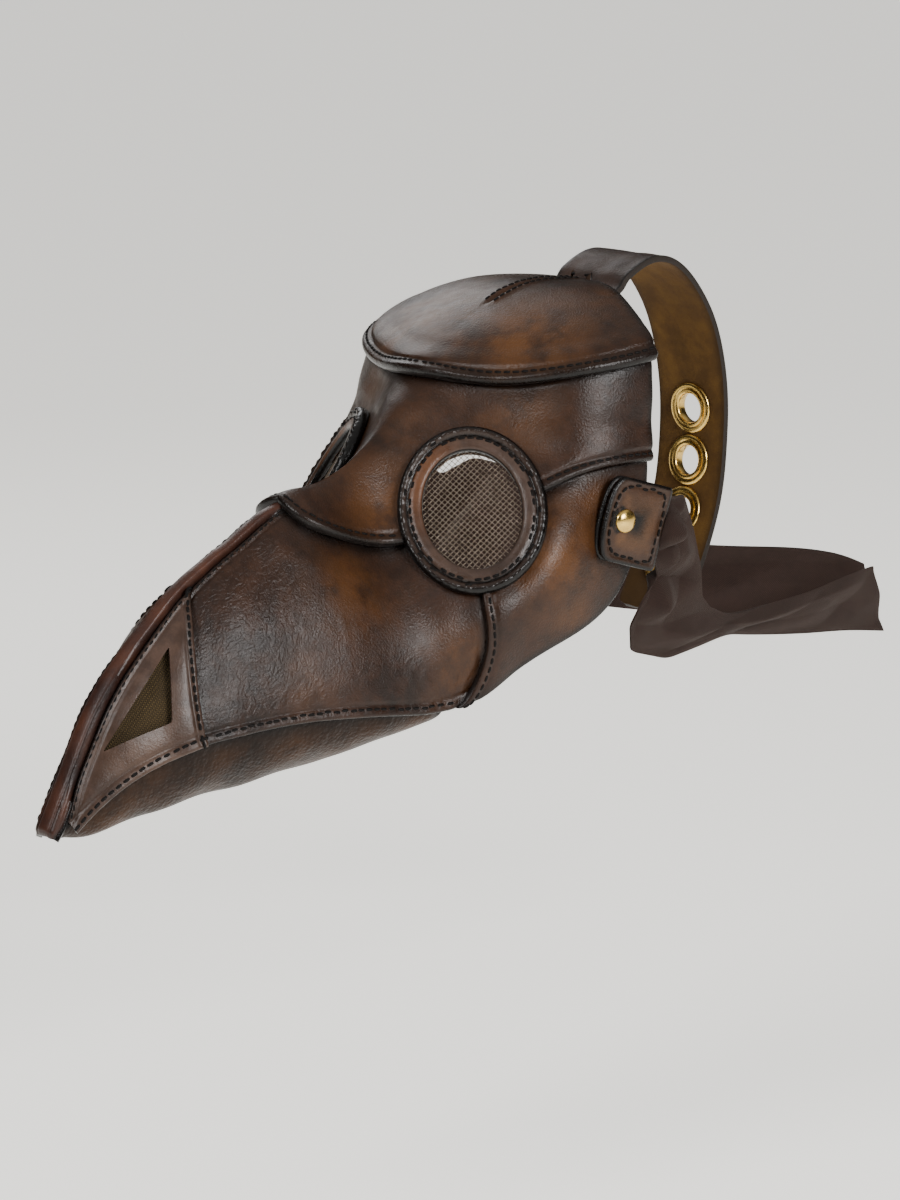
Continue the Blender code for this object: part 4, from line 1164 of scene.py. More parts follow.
# --- The shell of the mask ---
@dataclass
class Shell:
    """The brow, cap, cheeks, beak sides and nostril panels.

    Attributes:
        finishes: The materials.
        lap: How far one panel reaches under the next.
        over: How far the upper one reaches past the seam's line.
    """

    finishes: Finishes
    lap: float = 0.0045
    over: float = 0.0008
    eye_inset: float = 0.0060
    pieces: dict[str, Piece] = field(default_factory=dict)

    FOOT_STITCH = 0.0050

    def fan(self, points: Array, rib: Array, share: Array) -> Array:
        """Creases that fan out from the bridge down the side of the beak, and short ones above its foot."""
        dy, dz = points[:, 1] - BRIDGE[0], points[:, 2] - BRIDGE[1]
        reach = np.hypot(dy, dz)
        angle = np.arctan2(dz, dy)
        wander = waves(points, 0.035, 3) * 0.035 + waves(points, 0.012, 4) * 0.012
        ridge = np.sin((angle + wander) * 105)
        finer = np.sin((angle + wander * 1.3) * 190 + 1.3)
        here = smooth_step((reach - 0.016) / 0.02) * (1 - smooth_step((reach - 0.060) / 0.045))
        forward = smooth_step((-(angle + math.pi * 0.40)) / 0.55) + smooth_step((angle - 2.4) / 0.4)
        strength = here * np.clip(forward, 0, 1) * (0.6 + 0.4 * waves(points, 0.02, 9))
        made = 0.00014 * strength * (ridge * 0.7 + finer * 0.4)
        foot = bell(1 - share, 0.10, 0.075) * (0.55 + 0.45 * waves(points, 0.03, 5))
        made += 0.00026 * foot * np.sin(points[:, 1] * (2 * math.pi / 0.0058) + waves(points, 0.018, 6) * 2.2)
        return made + 0.0005 * waves(points, 0.045, 7)

    def fan_creases(self, points: Array) -> Array:
        """How creased the side of the beak is."""
        reach = np.hypot(points[:, 1] - BRIDGE[0], points[:, 2] - BRIDGE[1])
        ahead = smooth_step((-0.138 - points[:, 1]) / 0.045)
        return np.clip(0.04 + 0.95 * ahead * (0.35 + 0.65 * bell(reach, 0.055, 0.035)), 0, 1)

    def gentle(self, seed: int, size: float = 0.05, height: float = 0.0005
               ) -> Relief:
        """Slow unevenness of a worked hide."""
        return lambda points, rib, share: height * waves(points, size, seed)

    def cap_relief(self, points: Array, rib: Array, share: Array) -> Array:
        """The cap's dart along its midline and its slow unevenness."""
        dart = smooth_step((rib - 15.25) / 0.35)
        return 0.0004 * waves(points, 0.05, 12) - dart * 0.0016 * bell(points[:, 0], 0, 0.0011) + (
            dart * 0.0006 * bell(points[:, 0], 0.0028, 0.0017))

    def panels(self) -> list[Panel]:
        """Every panel of the left half and those across the midline.

        Returns:
            The panels, with the edges that their seams give them.
        """
        form, lap, over = FORM, self.lap, self.over
        up, down = 1.0, -1.0
        brow_edge = form.beside(form.brow, -over)
        cap_edge = form.beside(constant(CAP_RIB), -over - 0.0010)
        cheek_edge = form.beside(form.cheek, -over)
        nostril_edge = form.beside(form.nostril, over)
        ridge_edge = form.ridge_share(-0.0004)
        free = Seam.along(constant(1.0), 0.0, LAST_RIB, up)
        foot = Edge(free, EdgeKind.FREE, stitch_at=self.FOOT_STITCH, dark=0.0012, shade=0.9, flare=0.0012,
                    bead=0.0002)
        cut_edge = Edge(free, EdgeKind.FREE, dark=0.0040, shade=0.85)
        on_ridge = Edge(Seam.along(ridge_edge, 0.2, 6.6, down), EdgeKind.FREE, stitch_at=0.0031, dark=0.0016,
                        shade=0.95, bead=0.0003, pin=0.012)

        def joined(line: Line, first: float, last: float, inward: float, kind: EdgeKind, **more: float) -> Edge:
            return Edge(Seam.across(line, first, last, inward), kind, **more)

        def beak_end(share: Array) -> Array:
            return np.where(share > CHEEK_SEAM[0][0], np.minimum(form.brow(share), form.cheek(share)),
                            form.brow(share))

        step = LEATHER + FIT - Edge.SINK
        brow_over = joined(brow_edge, 0.0, 1.0, up, EdgeKind.OVER, lift=step, bead=0.0007, bead_at=0.0019,
                           stitch_at=0.0050, dark=0.0043, shade=1.0)
        # Edges that run beneath a neighbour are darkened beside the seam: painted shade under the lapping edge.
        brow_under = joined(constant(CAP_RIB), 0.0, 1.0, down, EdgeKind.UNDER, dark=0.0060, shade=0.8)
        cap_over = joined(cap_edge, 0.0, 1.0, up, EdgeKind.OVER, lift=step + 0.0004, bead=0.0012,
                          bead_at=0.0025, stitch_at=0.0066, dark=0.0060, shade=1.05)
        cap_rear = joined(constant(LAST_RIB), 0.0, 1.0, down, EdgeKind.FREE, dark=0.006, shade=0.8)
        cheek_over = joined(cheek_edge, 0.53, 1.0, up, EdgeKind.OVER, lift=step, bead=0.0004, bead_at=0.0016,
                            stitch_at=0.0043, dark=0.0020, shade=0.95)
        nostril_over = joined(nostril_edge, 0.0, 1.0, down, EdgeKind.OVER, lift=step, bead=0.0003,
                              stitch_at=0.0032, dark=0.0013, shade=0.85)
        # The under edges below darken their panel beside the seam: painted shade under the lapping edge.
        under_nostril = joined(form.nostril, 0.0, 1.0, up, EdgeKind.UNDER, dark=0.0030, shade=0.8)
        under_brow = joined(form.brow, 0.0, 1.0, down, EdgeKind.UNDER, dark=0.0070, shade=0.85)
        under_cheek = joined(form.cheek, 0.53, 1.0, down, EdgeKind.UNDER, dark=0.0038, shade=0.8)
        return [
            Panel("brow_leather", brow_edge, form.beside(constant(CAP_RIB), lap), constant(0.0), 1.0,
                  [brow_over, brow_under, cut_edge], (190, 96), True,
                  (Glow(7.6, 0.30, 0.022, 0.75), Glow(11.7, 0.42, 0.020, 0.55), Glow(9.6, 0.10, 0.018, 0.30)),
                  self.gentle(21)),
            Panel("forehead_cap_leather", cap_edge, constant(LAST_RIB), constant(0.0), 1.0,
                  [cap_over, cap_rear, cut_edge], (190, 84), True,
                  (Glow(14.5, 0.42, 0.030, 0.95), Glow(14.9, 0.14, 0.022, 0.5), Glow(15.4, 0.75, 0.016, 0.5)),
                  self.cap_relief),
            Panel("beak_leather", form.beside(form.nostril, -lap), form.beside(beak_end, lap), ridge_edge, 1.0,
                  [under_nostril, under_brow, under_cheek, on_ridge, foot], (130, 118), False,
                  (Glow(6.2, 0.52, 0.020, 0.55), Glow(7.2, 0.86, 0.014, 0.75), Glow(5.2, 0.80, 0.012, 0.3)),
                  self.fan, self.fan_creases),
            Panel("nostril_leather", constant(NOSTRIL_START), nostril_edge, ridge_edge, 1.0,
                  [nostril_over, on_ridge, foot], (64, 84), False, (Glow(2.2, 0.85, 0.02, 0.35),),
                  self.gentle(24, 0.03, 0.00025), thickness=0.0022),
            # The cheek's edge under the brow is darkened beside the seam: painted shade.
            Panel("cheek_leather", cheek_edge, form.beside(form.brow, lap), constant(0.58), 1.0,
                  [cheek_over, joined(form.brow, 0.53, 1.0, down, EdgeKind.UNDER, dark=0.006, shade=0.7),
                   cut_edge], (84, 84), False,
                  (Glow(9.3, 0.78, 0.024, 0.85), Glow(9.0, 0.95, 0.013, 0.5), Glow(10.4, 0.80, 0.012, 0.6)),
                  self.gentle(25)),
        ]

    def eye_cutter(self, side: Side) -> Piece:
        """The oval opening behind one eye ring."""
        seat = FORM.seat
        deselect()
        bpy.ops.mesh.primitive_cylinder_add(vertices=96, radius=1, depth=0.05)
        cutter = bpy.context.object
        size = (seat.half_width - self.eye_inset, seat.half_height - self.eye_inset, 1)
        cutter.data.transform(seat.matrix(side) @ Matrix.Diagonal((*size, 1)))
        return cutter

    def nostril_cutter(self) -> Piece:
        """The triangular cut-out of the left nostril panel."""
        corners = np.array([FORM.point(np.array([r]), np.array([s]))[0] for r, s in NOSTRIL_CORNERS])
        deselect()
        bpy.ops.mesh.primitive_cylinder_add(vertices=3, radius=1, depth=2)
        cutter = bpy.context.object
        normal = unit(np.cross(corners[1] - corners[0], corners[2] - corners[0]))
        points = coordinates(cutter)
        turns = np.round(np.arctan2(points[:, 0], points[:, 1]) / (2 * math.pi / 3)).astype(int) % 3
        put(cutter, corners[turns] + normal * points[:, 2:] * 0.014)
        on_all(cutter, lambda: bpy.ops.mesh.normals_make_consistent(inside=False),
               lambda: bpy.ops.mesh.select_all(action="DESELECT"))
        for edge in cutter.data.edges:
            a, b = (cutter.data.vertices[i].co for i in edge.vertices)
            edge.select = abs((b - a).normalized().dot(Vector(normal))) > 0.9
        bpy.ops.object.mode_set(mode="EDIT")
        bpy.ops.mesh.bevel(offset=0.0009, segments=3, affect="EDGES")
        bpy.ops.object.mode_set(mode="OBJECT")
        return cutter

    def build(self) -> None:
        """Makes the panels, cuts their openings, dresses them and sets them on the mask."""
        done = self.finishes
        skins = {"brow_leather": done.mask, "forehead_cap_leather": done.cap, "beak_leather": done.mask,
                 "nostril_leather": done.nostril, "cheek_leather": done.mask}
        nodes = {"brow_leather": "brow_panel", "forehead_cap_leather": "forehead_cap",
                 "beak_leather": "beak_side", "nostril_leather": "nostril_panel",
                 "cheek_leather": "cheek_panel"}
        eyes = [self.eye_cutter(side) for side in Side]
        nostril = self.nostril_cutter()
        for panel in self.panels():
            obj = panel.build((skins[panel.name], done.suede, done.edge))
            if panel.name in ("brow_leather", "beak_leather", "cheek_leather"):
                for cutter in eyes if panel.whole else eyes[:1]:
                    cut_through(obj, cutter)
            if panel.name == "nostril_leather":
                cut_through(obj, nostril)
            panel.dress(obj)
            made = {nodes[panel.name]: obj}
            if not panel.whole:
                obj.name = panel.name + "_left"
                other = mirrored(obj, panel.name + "_right")
                made = {nodes[panel.name] + "_left": obj, nodes[panel.name] + "_right": other}
            for node, piece in made.items():
                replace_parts(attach(piece, "mask"), node)
                self.pieces[piece.name] = piece
                LOG.info("%s: %d faces", piece.name, len(piece.data.polygons))
        for cutter in (*eyes, nostril):
            bpy.data.objects.remove(cutter)


def stitch_shell(shell: Shell, sewing: Stitching) -> None:
    """Sews every seam of the shell.

    Args:
        shell: The finished shell.
        sewing: How the stitches are made.
    """
    panels = {panel.name: panel for panel in shell.panels()}
    rows = {"brow_leather": "brow", "forehead_cap_leather": "cap", "cheek_leather": "cheek",
            "nostril_leather": "nostril"}
    for name, short in rows.items():
        panel = panels[name]
        edge = next(e for e in panel.edges if e.kind is EdgeKind.OVER)
        left = shell.pieces[name if panel.whole else name + "_left"]
        path = edge.seam.offset(edge.stitch_at)
        clear = FORM.seat.beyond(path) > 0.001
        paths = [path]
        if short in ("brow", "cheek"):
            breaks = np.flatnonzero(np.diff(clear.astype(int))) + 1
            runs = zip(np.split(path, breaks), np.split(clear, breaks))
            paths = [run for run, flag in runs if flag[0] and len(run) > 4]
        for number, part in enumerate(paths, 1):
            tail = f"_{number}" if len(paths) > 1 else ""
            sewing.row(f"{short}_seam_stitches{tail}", part, surface_of(left), "mask", True)
    side = surface_of(shell.pieces["beak_leather_left"], shell.pieces["nostril_leather_left"])
    foot = next(e for e in panels["beak_leather"].edges if e.flare)
    path = foot.seam.offset(foot.stitch_at)[8:165]
    sewing.row("foot_stitches", path, side, "mask", True)
    ridge = next(e for e in panels["beak_leather"].edges if e.stitch_at and not e.flare)
    fine = Stitching(sewing.thread, 0.0037, 0.0026, 0.00046, 0.00018)
    fine.row("ridge_stitches", ridge.seam.offset(ridge.stitch_at)[10:372], side, "mask", True)
    cap = surface_of(shell.pieces["forehead_cap_leather"])
    rib = np.linspace(15.35, 16.95, 60)
    top = FORM.point(rib, np.full_like(rib, 0.0)) + np.array((0.0030, 0, 0.004))
    sewing.row("dart_stitches", top, cap, "mask", True)


# --- Ridge, underside and nostril lining ---
@dataclass
class BeakTrim:
    """The strip along the top of the beak, its soft floor and the lining of its nostrils."""

    finishes: Finishes
    crown: float = 0.0012
    tuck: float = 0.0030
    margin: float = 0.0040

    def ridge(self) -> Piece:
        """The ridge strip: crowned, grooved, and tucked under the sides.

        Returns:
            The piece.
        """
        obj = grid("ridge_leather", 48, 220)
        flat = coordinates(obj)
        rib = 0.03 + (6.55 - 0.03) * (flat[:, 1] + 1) / 2
        half = FORM.ridge(rib)
        margin = self.margin * smooth_step((rib - NOSTRIL_START) / 0.5)
        width = np.abs(flat[:, 0]) * (half + margin)
        values = FORM.ribs(rib)
        share = np.arcsin(np.clip(width / values[:, 2], 0, 0.98) ** (values[:, 5] / 2)) * 2 / math.pi
        base, normal = FORM.point(rib, share), FORM.normal(rib, share)
        end = smooth_step((6.1 - rib) / 0.5) * smooth_step(rib / 0.12)
        inside = smooth_step((half - width) / 0.0030)
        height = (self.crown + self.tuck) * inside - self.tuck
        height = np.where(rib < NOSTRIL_START + 0.25, np.maximum(height, -0.0006), height) * (0.25 + 0.75 * end)
        height -= (1 - end) * 0.0004
        for at, deep in ((0.46, 0.0004), (0.62, 0.0003)):
            height -= deep * bell(width, at * half[0], 0.0005) * end
        height += 0.00012 * waves(base, 0.02, 31)
        nose = 0.0012 * np.clip(1 - rib / 0.10, 0, 1) ** 2
        outer = base + normal * (height - nose)[:, None]
        inner = base + normal * (height - nose - 0.0022)[:, None]
        sign = np.where(flat[:, 0] < 0, -1.0, 1.0)
        for side in (outer, inner):
            side[:, 0] = np.maximum(side[:, 0], 0) * sign
        shelled(obj, outer, inner, (self.finishes.ridge, self.finishes.suede, self.finishes.edge))
        # Darker where the strip runs beneath the sides' edges: painted shade. Also darker at the tip, and along a
        # line down each side.
        dark = np.tile(0.95 * (1 - smooth_step((half - width) / 0.0030)) + 0.5 * bell(rib, 0, 0.12), 2)
        groove = np.tile(0.5 * bell(width, 0.54 * half[0], 0.0013), 2)
        write(obj, burnish=np.maximum(dark, groove), tan=np.tile(0.5 + 0.5 * waves(base, 0.02, 33), 2),
              creased=0.1)
        smooth_shaded(obj, 50)
        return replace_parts(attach(obj, "mask"), "beak_ridge_strip")

    def underside(self) -> Piece:
        """The floor of the beak: a soft rolled sling of pebbled leather sewn inside the sides.

        Returns:
            The piece.
        """
        obj = grid("underside_leather", 84, 190)
        flat = coordinates(obj)
        rib = 0.12 + (6.9 - 0.12) * (flat[:, 1] + 1) / 2
        around = flat[:, 0]
        _, across = FORM.slopes(rib, np.full_like(rib, 0.97))
        share = 1 - 0.005 / np.linalg.norm(across, axis=1)
        seam = FORM.point(rib, share) - 0.0031 * FORM.normal(rib, share)
        turn = math.pi / 2 * (1 - np.abs(around))
        drop = seam[:, 2] - FORM.floor(rib)
        swell = 1 + 0.05 * np.sin(2 * turn) * smooth_step((rib - 0.6) / 1.2)
        x = seam[:, 0] * np.cos(turn) * swell
        z = seam[:, 2] - drop * np.sin(turn) * (1 + 0.02 * np.sin(2 * turn))
        base = np.stack([x * -np.sign(around + 1e-9), seam[:, 1], z], axis=1)
        gathers = bell(np.abs(around), 0.86, 0.16) * np.sin(base[:, 1] * (2 * math.pi / 0.0052) + waves(
            base, 0.02, 42) * 1.8)
        puff = 0.0005 * waves(base, 0.028, 41) + 0.00012 * gathers
        outwards = unit(np.stack([base[:, 0], np.zeros(len(base)), np.minimum(base[:, 2] - seam[:, 2], -1e-4)],
                                 axis=1))
        outer = base + outwards * puff[:, None]
        inner = base - outwards * 0.0019
        shelled(obj, outer, inner, (self.finishes.underside, self.finishes.suede, self.finishes.edge))
        # Darker beside its seam with the sides: painted shade under the sides' flange. Also darker at its rear end.
        dark = 0.95 * np.exp(-((1 - np.abs(around)) / 0.20) ** 1.5) + 0.5 * bell(rib, 6.9, 0.12)
        write(obj, burnish=np.tile(dark, 2), tan=np.tile(0.10 + 0.10 * waves(base, 0.03, 44), 2),
              creased=0.4)
        smooth_shaded(obj, 60)
        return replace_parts(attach(obj, "mask"), "beak_underside")

    def lining(self) -> list[Piece]:
        """The woven cloth behind each nostril cut-out.

        Returns:
            The left and the right piece.
        """
        obj = grid("nostril_cloth_left", 40, 60)
        flat = coordinates(obj)
        rib = 1.15 + 2.35 * (flat[:, 1] + 1) / 2
        share = 0.30 + 0.46 * (flat[:, 0] + 1) / 2
        base, normal = FORM.point(rib, share), FORM.normal(rib, share)
        sag = 0.0030 + 0.0012 * bell(flat[:, 0], 0, 0.6) * bell(flat[:, 1], 0, 0.6)
        sag += 0.0002 * waves(base, 0.012, 51)
        put(obj, base - normal * sag[:, None])
        walled(obj, 0.0008, (self.finishes.lining,))
        apply_all(obj)
        write(obj, creased=0.0)
        smooth_shaded(obj, 60)
        pieces = [obj, mirrored(obj, "nostril_cloth_right")]
        for piece, side in zip(pieces, Side):
            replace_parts(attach(piece, "mask"), "nostril_lining_" + side.value)
        return pieces

    def build(self) -> None:
        """Makes the trim."""
        for piece in (self.ridge(), self.underside(), *self.lining()):
            LOG.info("%s: %d faces", piece.name, len(piece.data.polygons))


# --- Eyes ---
@dataclass
class Eye:
    """One eye: a stitched leather ring with a rolled rim over woven wire.

    Attributes:
        side: Which eye.
        finishes: The materials.
        wire_pitch: From one wire to the next.
        wire_radius: Of a wire.
    """

    side: Side
    finishes: Finishes
    wire_pitch: float = 0.00185
    wire_radius: float = 0.00016
    stitch_at: float = 0.0046

    # (distance in from the outer edge, height off the seat) round the ring's section
    SECTION = ((0.0006, 0.0002), (0.0, 0.0012), (0.0, 0.0026), (0.0003, 0.0038), (0.0010, 0.0047),
               (0.0019, 0.0051), (0.0028, 0.0049), (0.0035, 0.0043), (0.0040, 0.0039), (0.0046, 0.0036),
               (0.0052, 0.0040), (0.0060, 0.0045), (0.0075, 0.0047), (0.0092, 0.0046), (0.0103, 0.0042),
               (0.0109, 0.0034), (0.0110, 0.0020), (0.0109, 0.0006), (0.0104, 0.0002), (0.0055, 0.0002))

    def ring(self) -> Piece:
        """The leather ring, swept round its oval.

        Returns:
            The piece.
        """
        seat = FORM.seat
        steps = len(self.SECTION)
        deselect()
        bpy.ops.mesh.primitive_torus_add(major_segments=200, minor_segments=steps, major_radius=1,
                                         minor_radius=0.1)
        obj = bpy.context.object
        obj.name = obj.data.name = "ring_leather_" + self.side.value
        points = coordinates(obj)
        turn = np.arctan2(points[:, 1], points[:, 0])
        section = np.round(np.arctan2(points[:, 2], np.hypot(points[:, 0], points[:, 1]) - 1)
                           / (2 * math.pi / steps)).astype(int) % steps
        inset, height = np.array(self.SECTION)[section].T
        local = np.stack([(seat.half_width - inset) * np.cos(turn), (seat.half_height - inset) * np.sin(turn),
                          height], axis=1)
        rim = bell(inset, 0.0019, 0.0016)
        local[:, 2] += rim * (0.0003 * np.sin(turn * 61 + 2 * np.sin(turn * 5)) + 0.0002 * np.sin(turn * 23))
        put(obj, local)
        obj.data.transform(seat.matrix(self.side))
        obj.data.materials.append(self.finishes.ring)
        outward(obj)
        dark = np.clip(1.05 - inset / 0.0046, 0, 1) + bell(inset, self.stitch_at, 0.0008) * 0.8
        dark = np.clip(dark + 0.9 * smooth_step((inset - 0.0102) / 0.0007), 0, 1)
        warm = 0.6 * bell(np.hypot(np.cos(turn) + 0.72, np.sin(turn) - 0.55), 0, 0.75) * (inset > 0.004)
        write(obj, burnish=dark, tan=warm, creased=0.1)
        smooth_shaded(obj, 60)
        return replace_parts(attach(obj, "mask"), "eye_ring_" + self.side.value)

    def wires(self) -> Piece:
        """The woven wire: two sets of waved wires at right angles, cut to the oval.

        Returns:
            The piece.
        """
        seat = FORM.seat
        half_w, half_h = seat.half_width - 0.0075, seat.half_height - 0.0075
        curve = bpy.data.curves.new("wire", "CURVE")
        curve.dimensions = "3D"
        curve.bevel_depth = self.wire_radius
        curve.bevel_resolution = 0
        curve.use_fill_caps = True
        for set_turn in (0, 1):
            angle = math.radians(38) + set_turn * math.pi / 2
            along = np.array((math.cos(angle), math.sin(angle)))
            across = np.array((-along[1], along[0]))
            for k in range(-26, 27):
                offset = across * k * self.wire_pitch
                # where the line offset + t * along meets the oval
                a = (along[0] / half_w) ** 2 + (along[1] / half_h) ** 2
                b = 2 * (offset[0] * along[0] / half_w ** 2 + offset[1] * along[1] / half_h ** 2)
                c = (offset[0] / half_w) ** 2 + (offset[1] / half_h) ** 2 - 1
                inside = b * b - 4 * a * c
                if inside <= 0:
                    continue
                ends = sorted(((-b - math.sqrt(inside)) / (2 * a), (-b + math.sqrt(inside)) / (2 * a)))
                if ends[1] - ends[0] < 2 * self.wire_pitch:
                    continue
                t = np.arange(math.ceil(ends[0] / self.wire_pitch * 2), ends[1] / self.wire_pitch * 2) / 2
                wave = np.cos(math.pi * (t + k + set_turn)) * self.wire_radius * 1.15
                spline = curve.splines.new("POLY")
                spline.points.add(len(t) - 1)
                flat = offset + along * (t * self.wire_pitch)[:, None]
                rows = np.column_stack([flat, wave - 0.0006, np.ones(len(t))])
                spline.points.foreach_set("co", rows.ravel())
        pick(linked("wire_mesh_" + self.side.value, curve))
        bpy.ops.object.convert(target="MESH")
        obj = bpy.context.object
        outward(obj)
        obj.data.transform(seat.matrix(self.side))
        obj.data.materials.clear()
        obj.data.materials.append(self.finishes.wire)
        obj.data.shade_smooth()
        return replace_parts(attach(obj, "mask"), "eye_mesh_" + self.side.value)

    def build(self, sewing: Stitching) -> None:
        """Makes the ring, its stitches and the wire.

        Args:
            sewing: How the stitches are made.
        """
        ring = self.ring()
        seat = FORM.seat
        turn = np.linspace(0, 2 * math.pi, 241)
        half_w, half_h = seat.half_width - self.stitch_at, seat.half_height - self.stitch_at
        local = np.stack([half_w * np.cos(turn), half_h * np.sin(turn), np.full_like(turn, 0.006)], axis=1)
        path = placed(local, seat.matrix(self.side))
        sewing.row("ring_stitches_" + self.side.value, path, surface_of(ring), "mask")
        wires = self.wires()
        LOG.info("%s and %s: %d and %d faces", ring.name, wires.name, len(ring.data.polygons),
                 len(wires.data.polygons))


# --- Strap ---
@dataclass
class Strap:
    """The top strap: leather with a suede inside and four brass eyelets."""

    finishes: Finishes
    width: float = 0.040
    thickness: float = 0.0030
    eyelets: int = 4
    eyelet_radius: float = 0.0118
    hole_radius: float = 0.0067
    eyelet_gap: float = 0.0012
    from_end: float = 0.0240
    tongue: float = 0.0170
    corner: float = 0.0045

    def route(self) -> tuple[Array, Array]:
        """The strap's outer side along the midline, as (distance, rows of y and z)."""
        curve = NaturalSpline(range(len(STRAP_ROUTE)), STRAP_ROUTE)
        fine = curve(np.linspace(0, len(STRAP_ROUTE) - 1, 441))
        run = np.concatenate([[0], np.cumsum(np.linalg.norm(np.diff(fine, axis=0), axis=1))])
        return run, fine

    def holes(self) -> list[Matrix]:
        """The eyelets' placings, +Z off the strap's outer side.

        Returns:
            One matrix an eyelet, from the top.
        """
        run, fine = self.route()
        pitch = 2 * self.eyelet_radius + self.eyelet_gap
        made = []
        for i in reversed(range(self.eyelets)):
            at = run[-1] - self.from_end - pitch * i
            a, b = (np.array([np.interp(at + d, run, fine[:, k]) for k in (0, 1)])
                    for d in (-pitch / 2, pitch / 2))
            tangent = Vector((0, *(b - a))).normalized()
            z = Vector((1, 0, 0)).cross(tangent)
            z = -z if z.y < 0 else z
            middle = Vector((0, *((a + b) / 2))) - z * self.thickness / 2
            y = Vector((1, 0, 0))
            matrix = Matrix((y.cross(z), y, z)).transposed().to_4x4()
            matrix.translation = middle
            made.append(matrix)
        return made

    def leather(self) -> Piece:
        """The strap itself, from its tongue under the cap to its free end.

        Returns:
            The piece.
        """
        run, fine = self.route()
        length = run[-1] + self.tongue
        obj = grid("strap_leather", 24, 190)
        flat = coordinates(obj)
        at = (flat[:, 1] + 1) / 2 * length - self.tongue
        from_end = np.clip(np.minimum(at + self.tongue, run[-1] - at), 0, self.corner)
        drawn_in = self.corner - np.sqrt(self.corner ** 2 - (self.corner - from_end) ** 2)
        x = flat[:, 0] * (self.width / 2 - drawn_in) * (1 - 0.12 * (1 - smooth_step((at + 0.016) / 0.012)))
        under = LEATHER + 0.0018
        places = np.concatenate([[-self.tongue], run])
        path = np.vstack([[fine[0, 0] - self.tongue, fine[0, 1] - under * 0.45], fine])
        y, z = (np.interp(at, places, path[:, k]) for k in (0, 1))
        ty, tz = (np.interp(at, places, np.gradient(path[:, k], places)) for k in (0, 1))
        size = np.hypot(ty, tz)
        lift = -under * (1 - smooth_step((at + 0.008) / 0.014)) + 0.0002 * waves(flat, 0.8, 61)
        put(obj, np.stack([x, y - tz / size * lift, z + ty / size * lift], axis=1))
        walled(obj, self.thickness, (self.finishes.strap, self.finishes.strap_suede, self.finishes.strap_edge))
        corner = obj.modifiers.new("corners", "BEVEL")
        corner.width, corner.segments, corner.limit_method = 0.0006, 2, "ANGLE"
        corner.angle_limit = math.radians(60)
        apply_all(obj)
        outward(obj)
        for matrix in self.holes():
            deselect()
            bpy.ops.mesh.primitive_cylinder_add(vertices=48, radius=self.hole_radius + 0.0011, depth=0.012)
            cutter = bpy.context.object
            cutter.data.transform(matrix)
            cut_through(obj, cutter)
            bpy.data.objects.remove(cutter)
        points = coordinates(obj)
        side = self.width / 2 - np.abs(points[:, 0])
        # Darker along both side edges (burnishing) and towards the lower end (painted shade).
        painted_end_shade = smooth_step((-0.030 - points[:, 2]) / 0.022)
        dark = np.maximum(0.85 * np.exp(-(side / 0.0022) ** 1.5), 0.8 * painted_end_shade)
        write(obj, burnish=dark, tan=0.0, creased=0.05)
        smooth_shaded(obj, 40)
        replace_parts(obj, "top_strap", "strap_tongue")
        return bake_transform(obj)

    def eyelet(self, number: int, matrix: Matrix) -> None:
        """One brass eyelet and its washer, rolled over both sides of the strap.

        Args:
            number: From the top.
            matrix: Its placing.
        """
        top = self.thickness / 2
        r, h = self.eyelet_radius, self.hole_radius
        roll = [(r - 0.0001, top + 0.0002), (r, top + 0.0005), (r - 0.0004, top + 0.0011),
                (r - 0.0013, top + 0.0015), (r - 0.0024, top + 0.0016), (h + 0.0014, top + 0.0013),
                (h + 0.0005, top + 0.0009), (h + 0.0001, top + 0.0001), (h, 0.0)]
        eyelet = roll + [(h, -top - 0.0006), (h + 0.0004, -top - 0.0014), (h + 0.0013, -top - 0.0017),
                         (h + 0.0021, -top - 0.0014), (h + 0.0022, -top - 0.0009), (h + 0.0009, -top - 0.0004),
                         (h + 0.0009, top + 0.0002)]
        washer = [(r, -top - 0.0002), (r, -top - 0.0005), (r - 0.0005, -top - 0.0010),
                  (r - 0.0014, -top - 0.0013), (h + 0.0028, -top - 0.0011), (h + 0.0014, -top - 0.0007),
                  (h + 0.0012, -top - 0.0002)]
        for name, profile, node in (("brass_eyelet", eyelet, "strap_eyelet"),
                                    ("brass_washer", washer, "eyelet_washer")):
            piece = lathe(f"{name}_{number}", profile, matrix, self.finishes.brass, 72)
            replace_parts(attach(piece, "strap"), f"{node}_{number}")

    def build(self) -> None:
        """Makes the strap and its eyelets."""
        piece = self.leather()
        LOG.info("%s: %d faces", piece.name, len(piece.data.polygons))
        for number, matrix in enumerate(self.holes(), 1):
            self.eyelet(number, matrix)


def lathe(name: str, profile: Sequence[tuple[float, float]], matrix: Matrix, skin: Material,
          steps: int, closed: bool = True) -> Piece:
    """A piece turned from a profile of (radius, height) points.

    Args:
        name: The piece's name.
        profile: The points, in order round the section.
        matrix: Where the piece goes, its axis along Z.
        skin: Its material.
        steps: How many steps make the round.
        closed: Whether the last point joins the first.

    Returns:
        The piece, with its place in its mesh.
    """
    mesh = bpy.data.meshes.new(name)
    count = len(profile)
    edges = [(i, (i + 1) % count) for i in range(count if closed else count - 1)]
    mesh.from_pydata([(r, 0.0, z) for r, z in profile], edges, [])
    obj = on_all(linked(name, mesh), lambda: bpy.ops.mesh.spin(
        steps=steps, angle=2 * math.pi, center=(0, 0, 0), axis=(0, 0, 1), use_auto_merge=True))
    outward(obj)
    obj.data.transform(matrix)
    obj.data.materials.append(skin)
    return smooth_shaded(obj, 50)


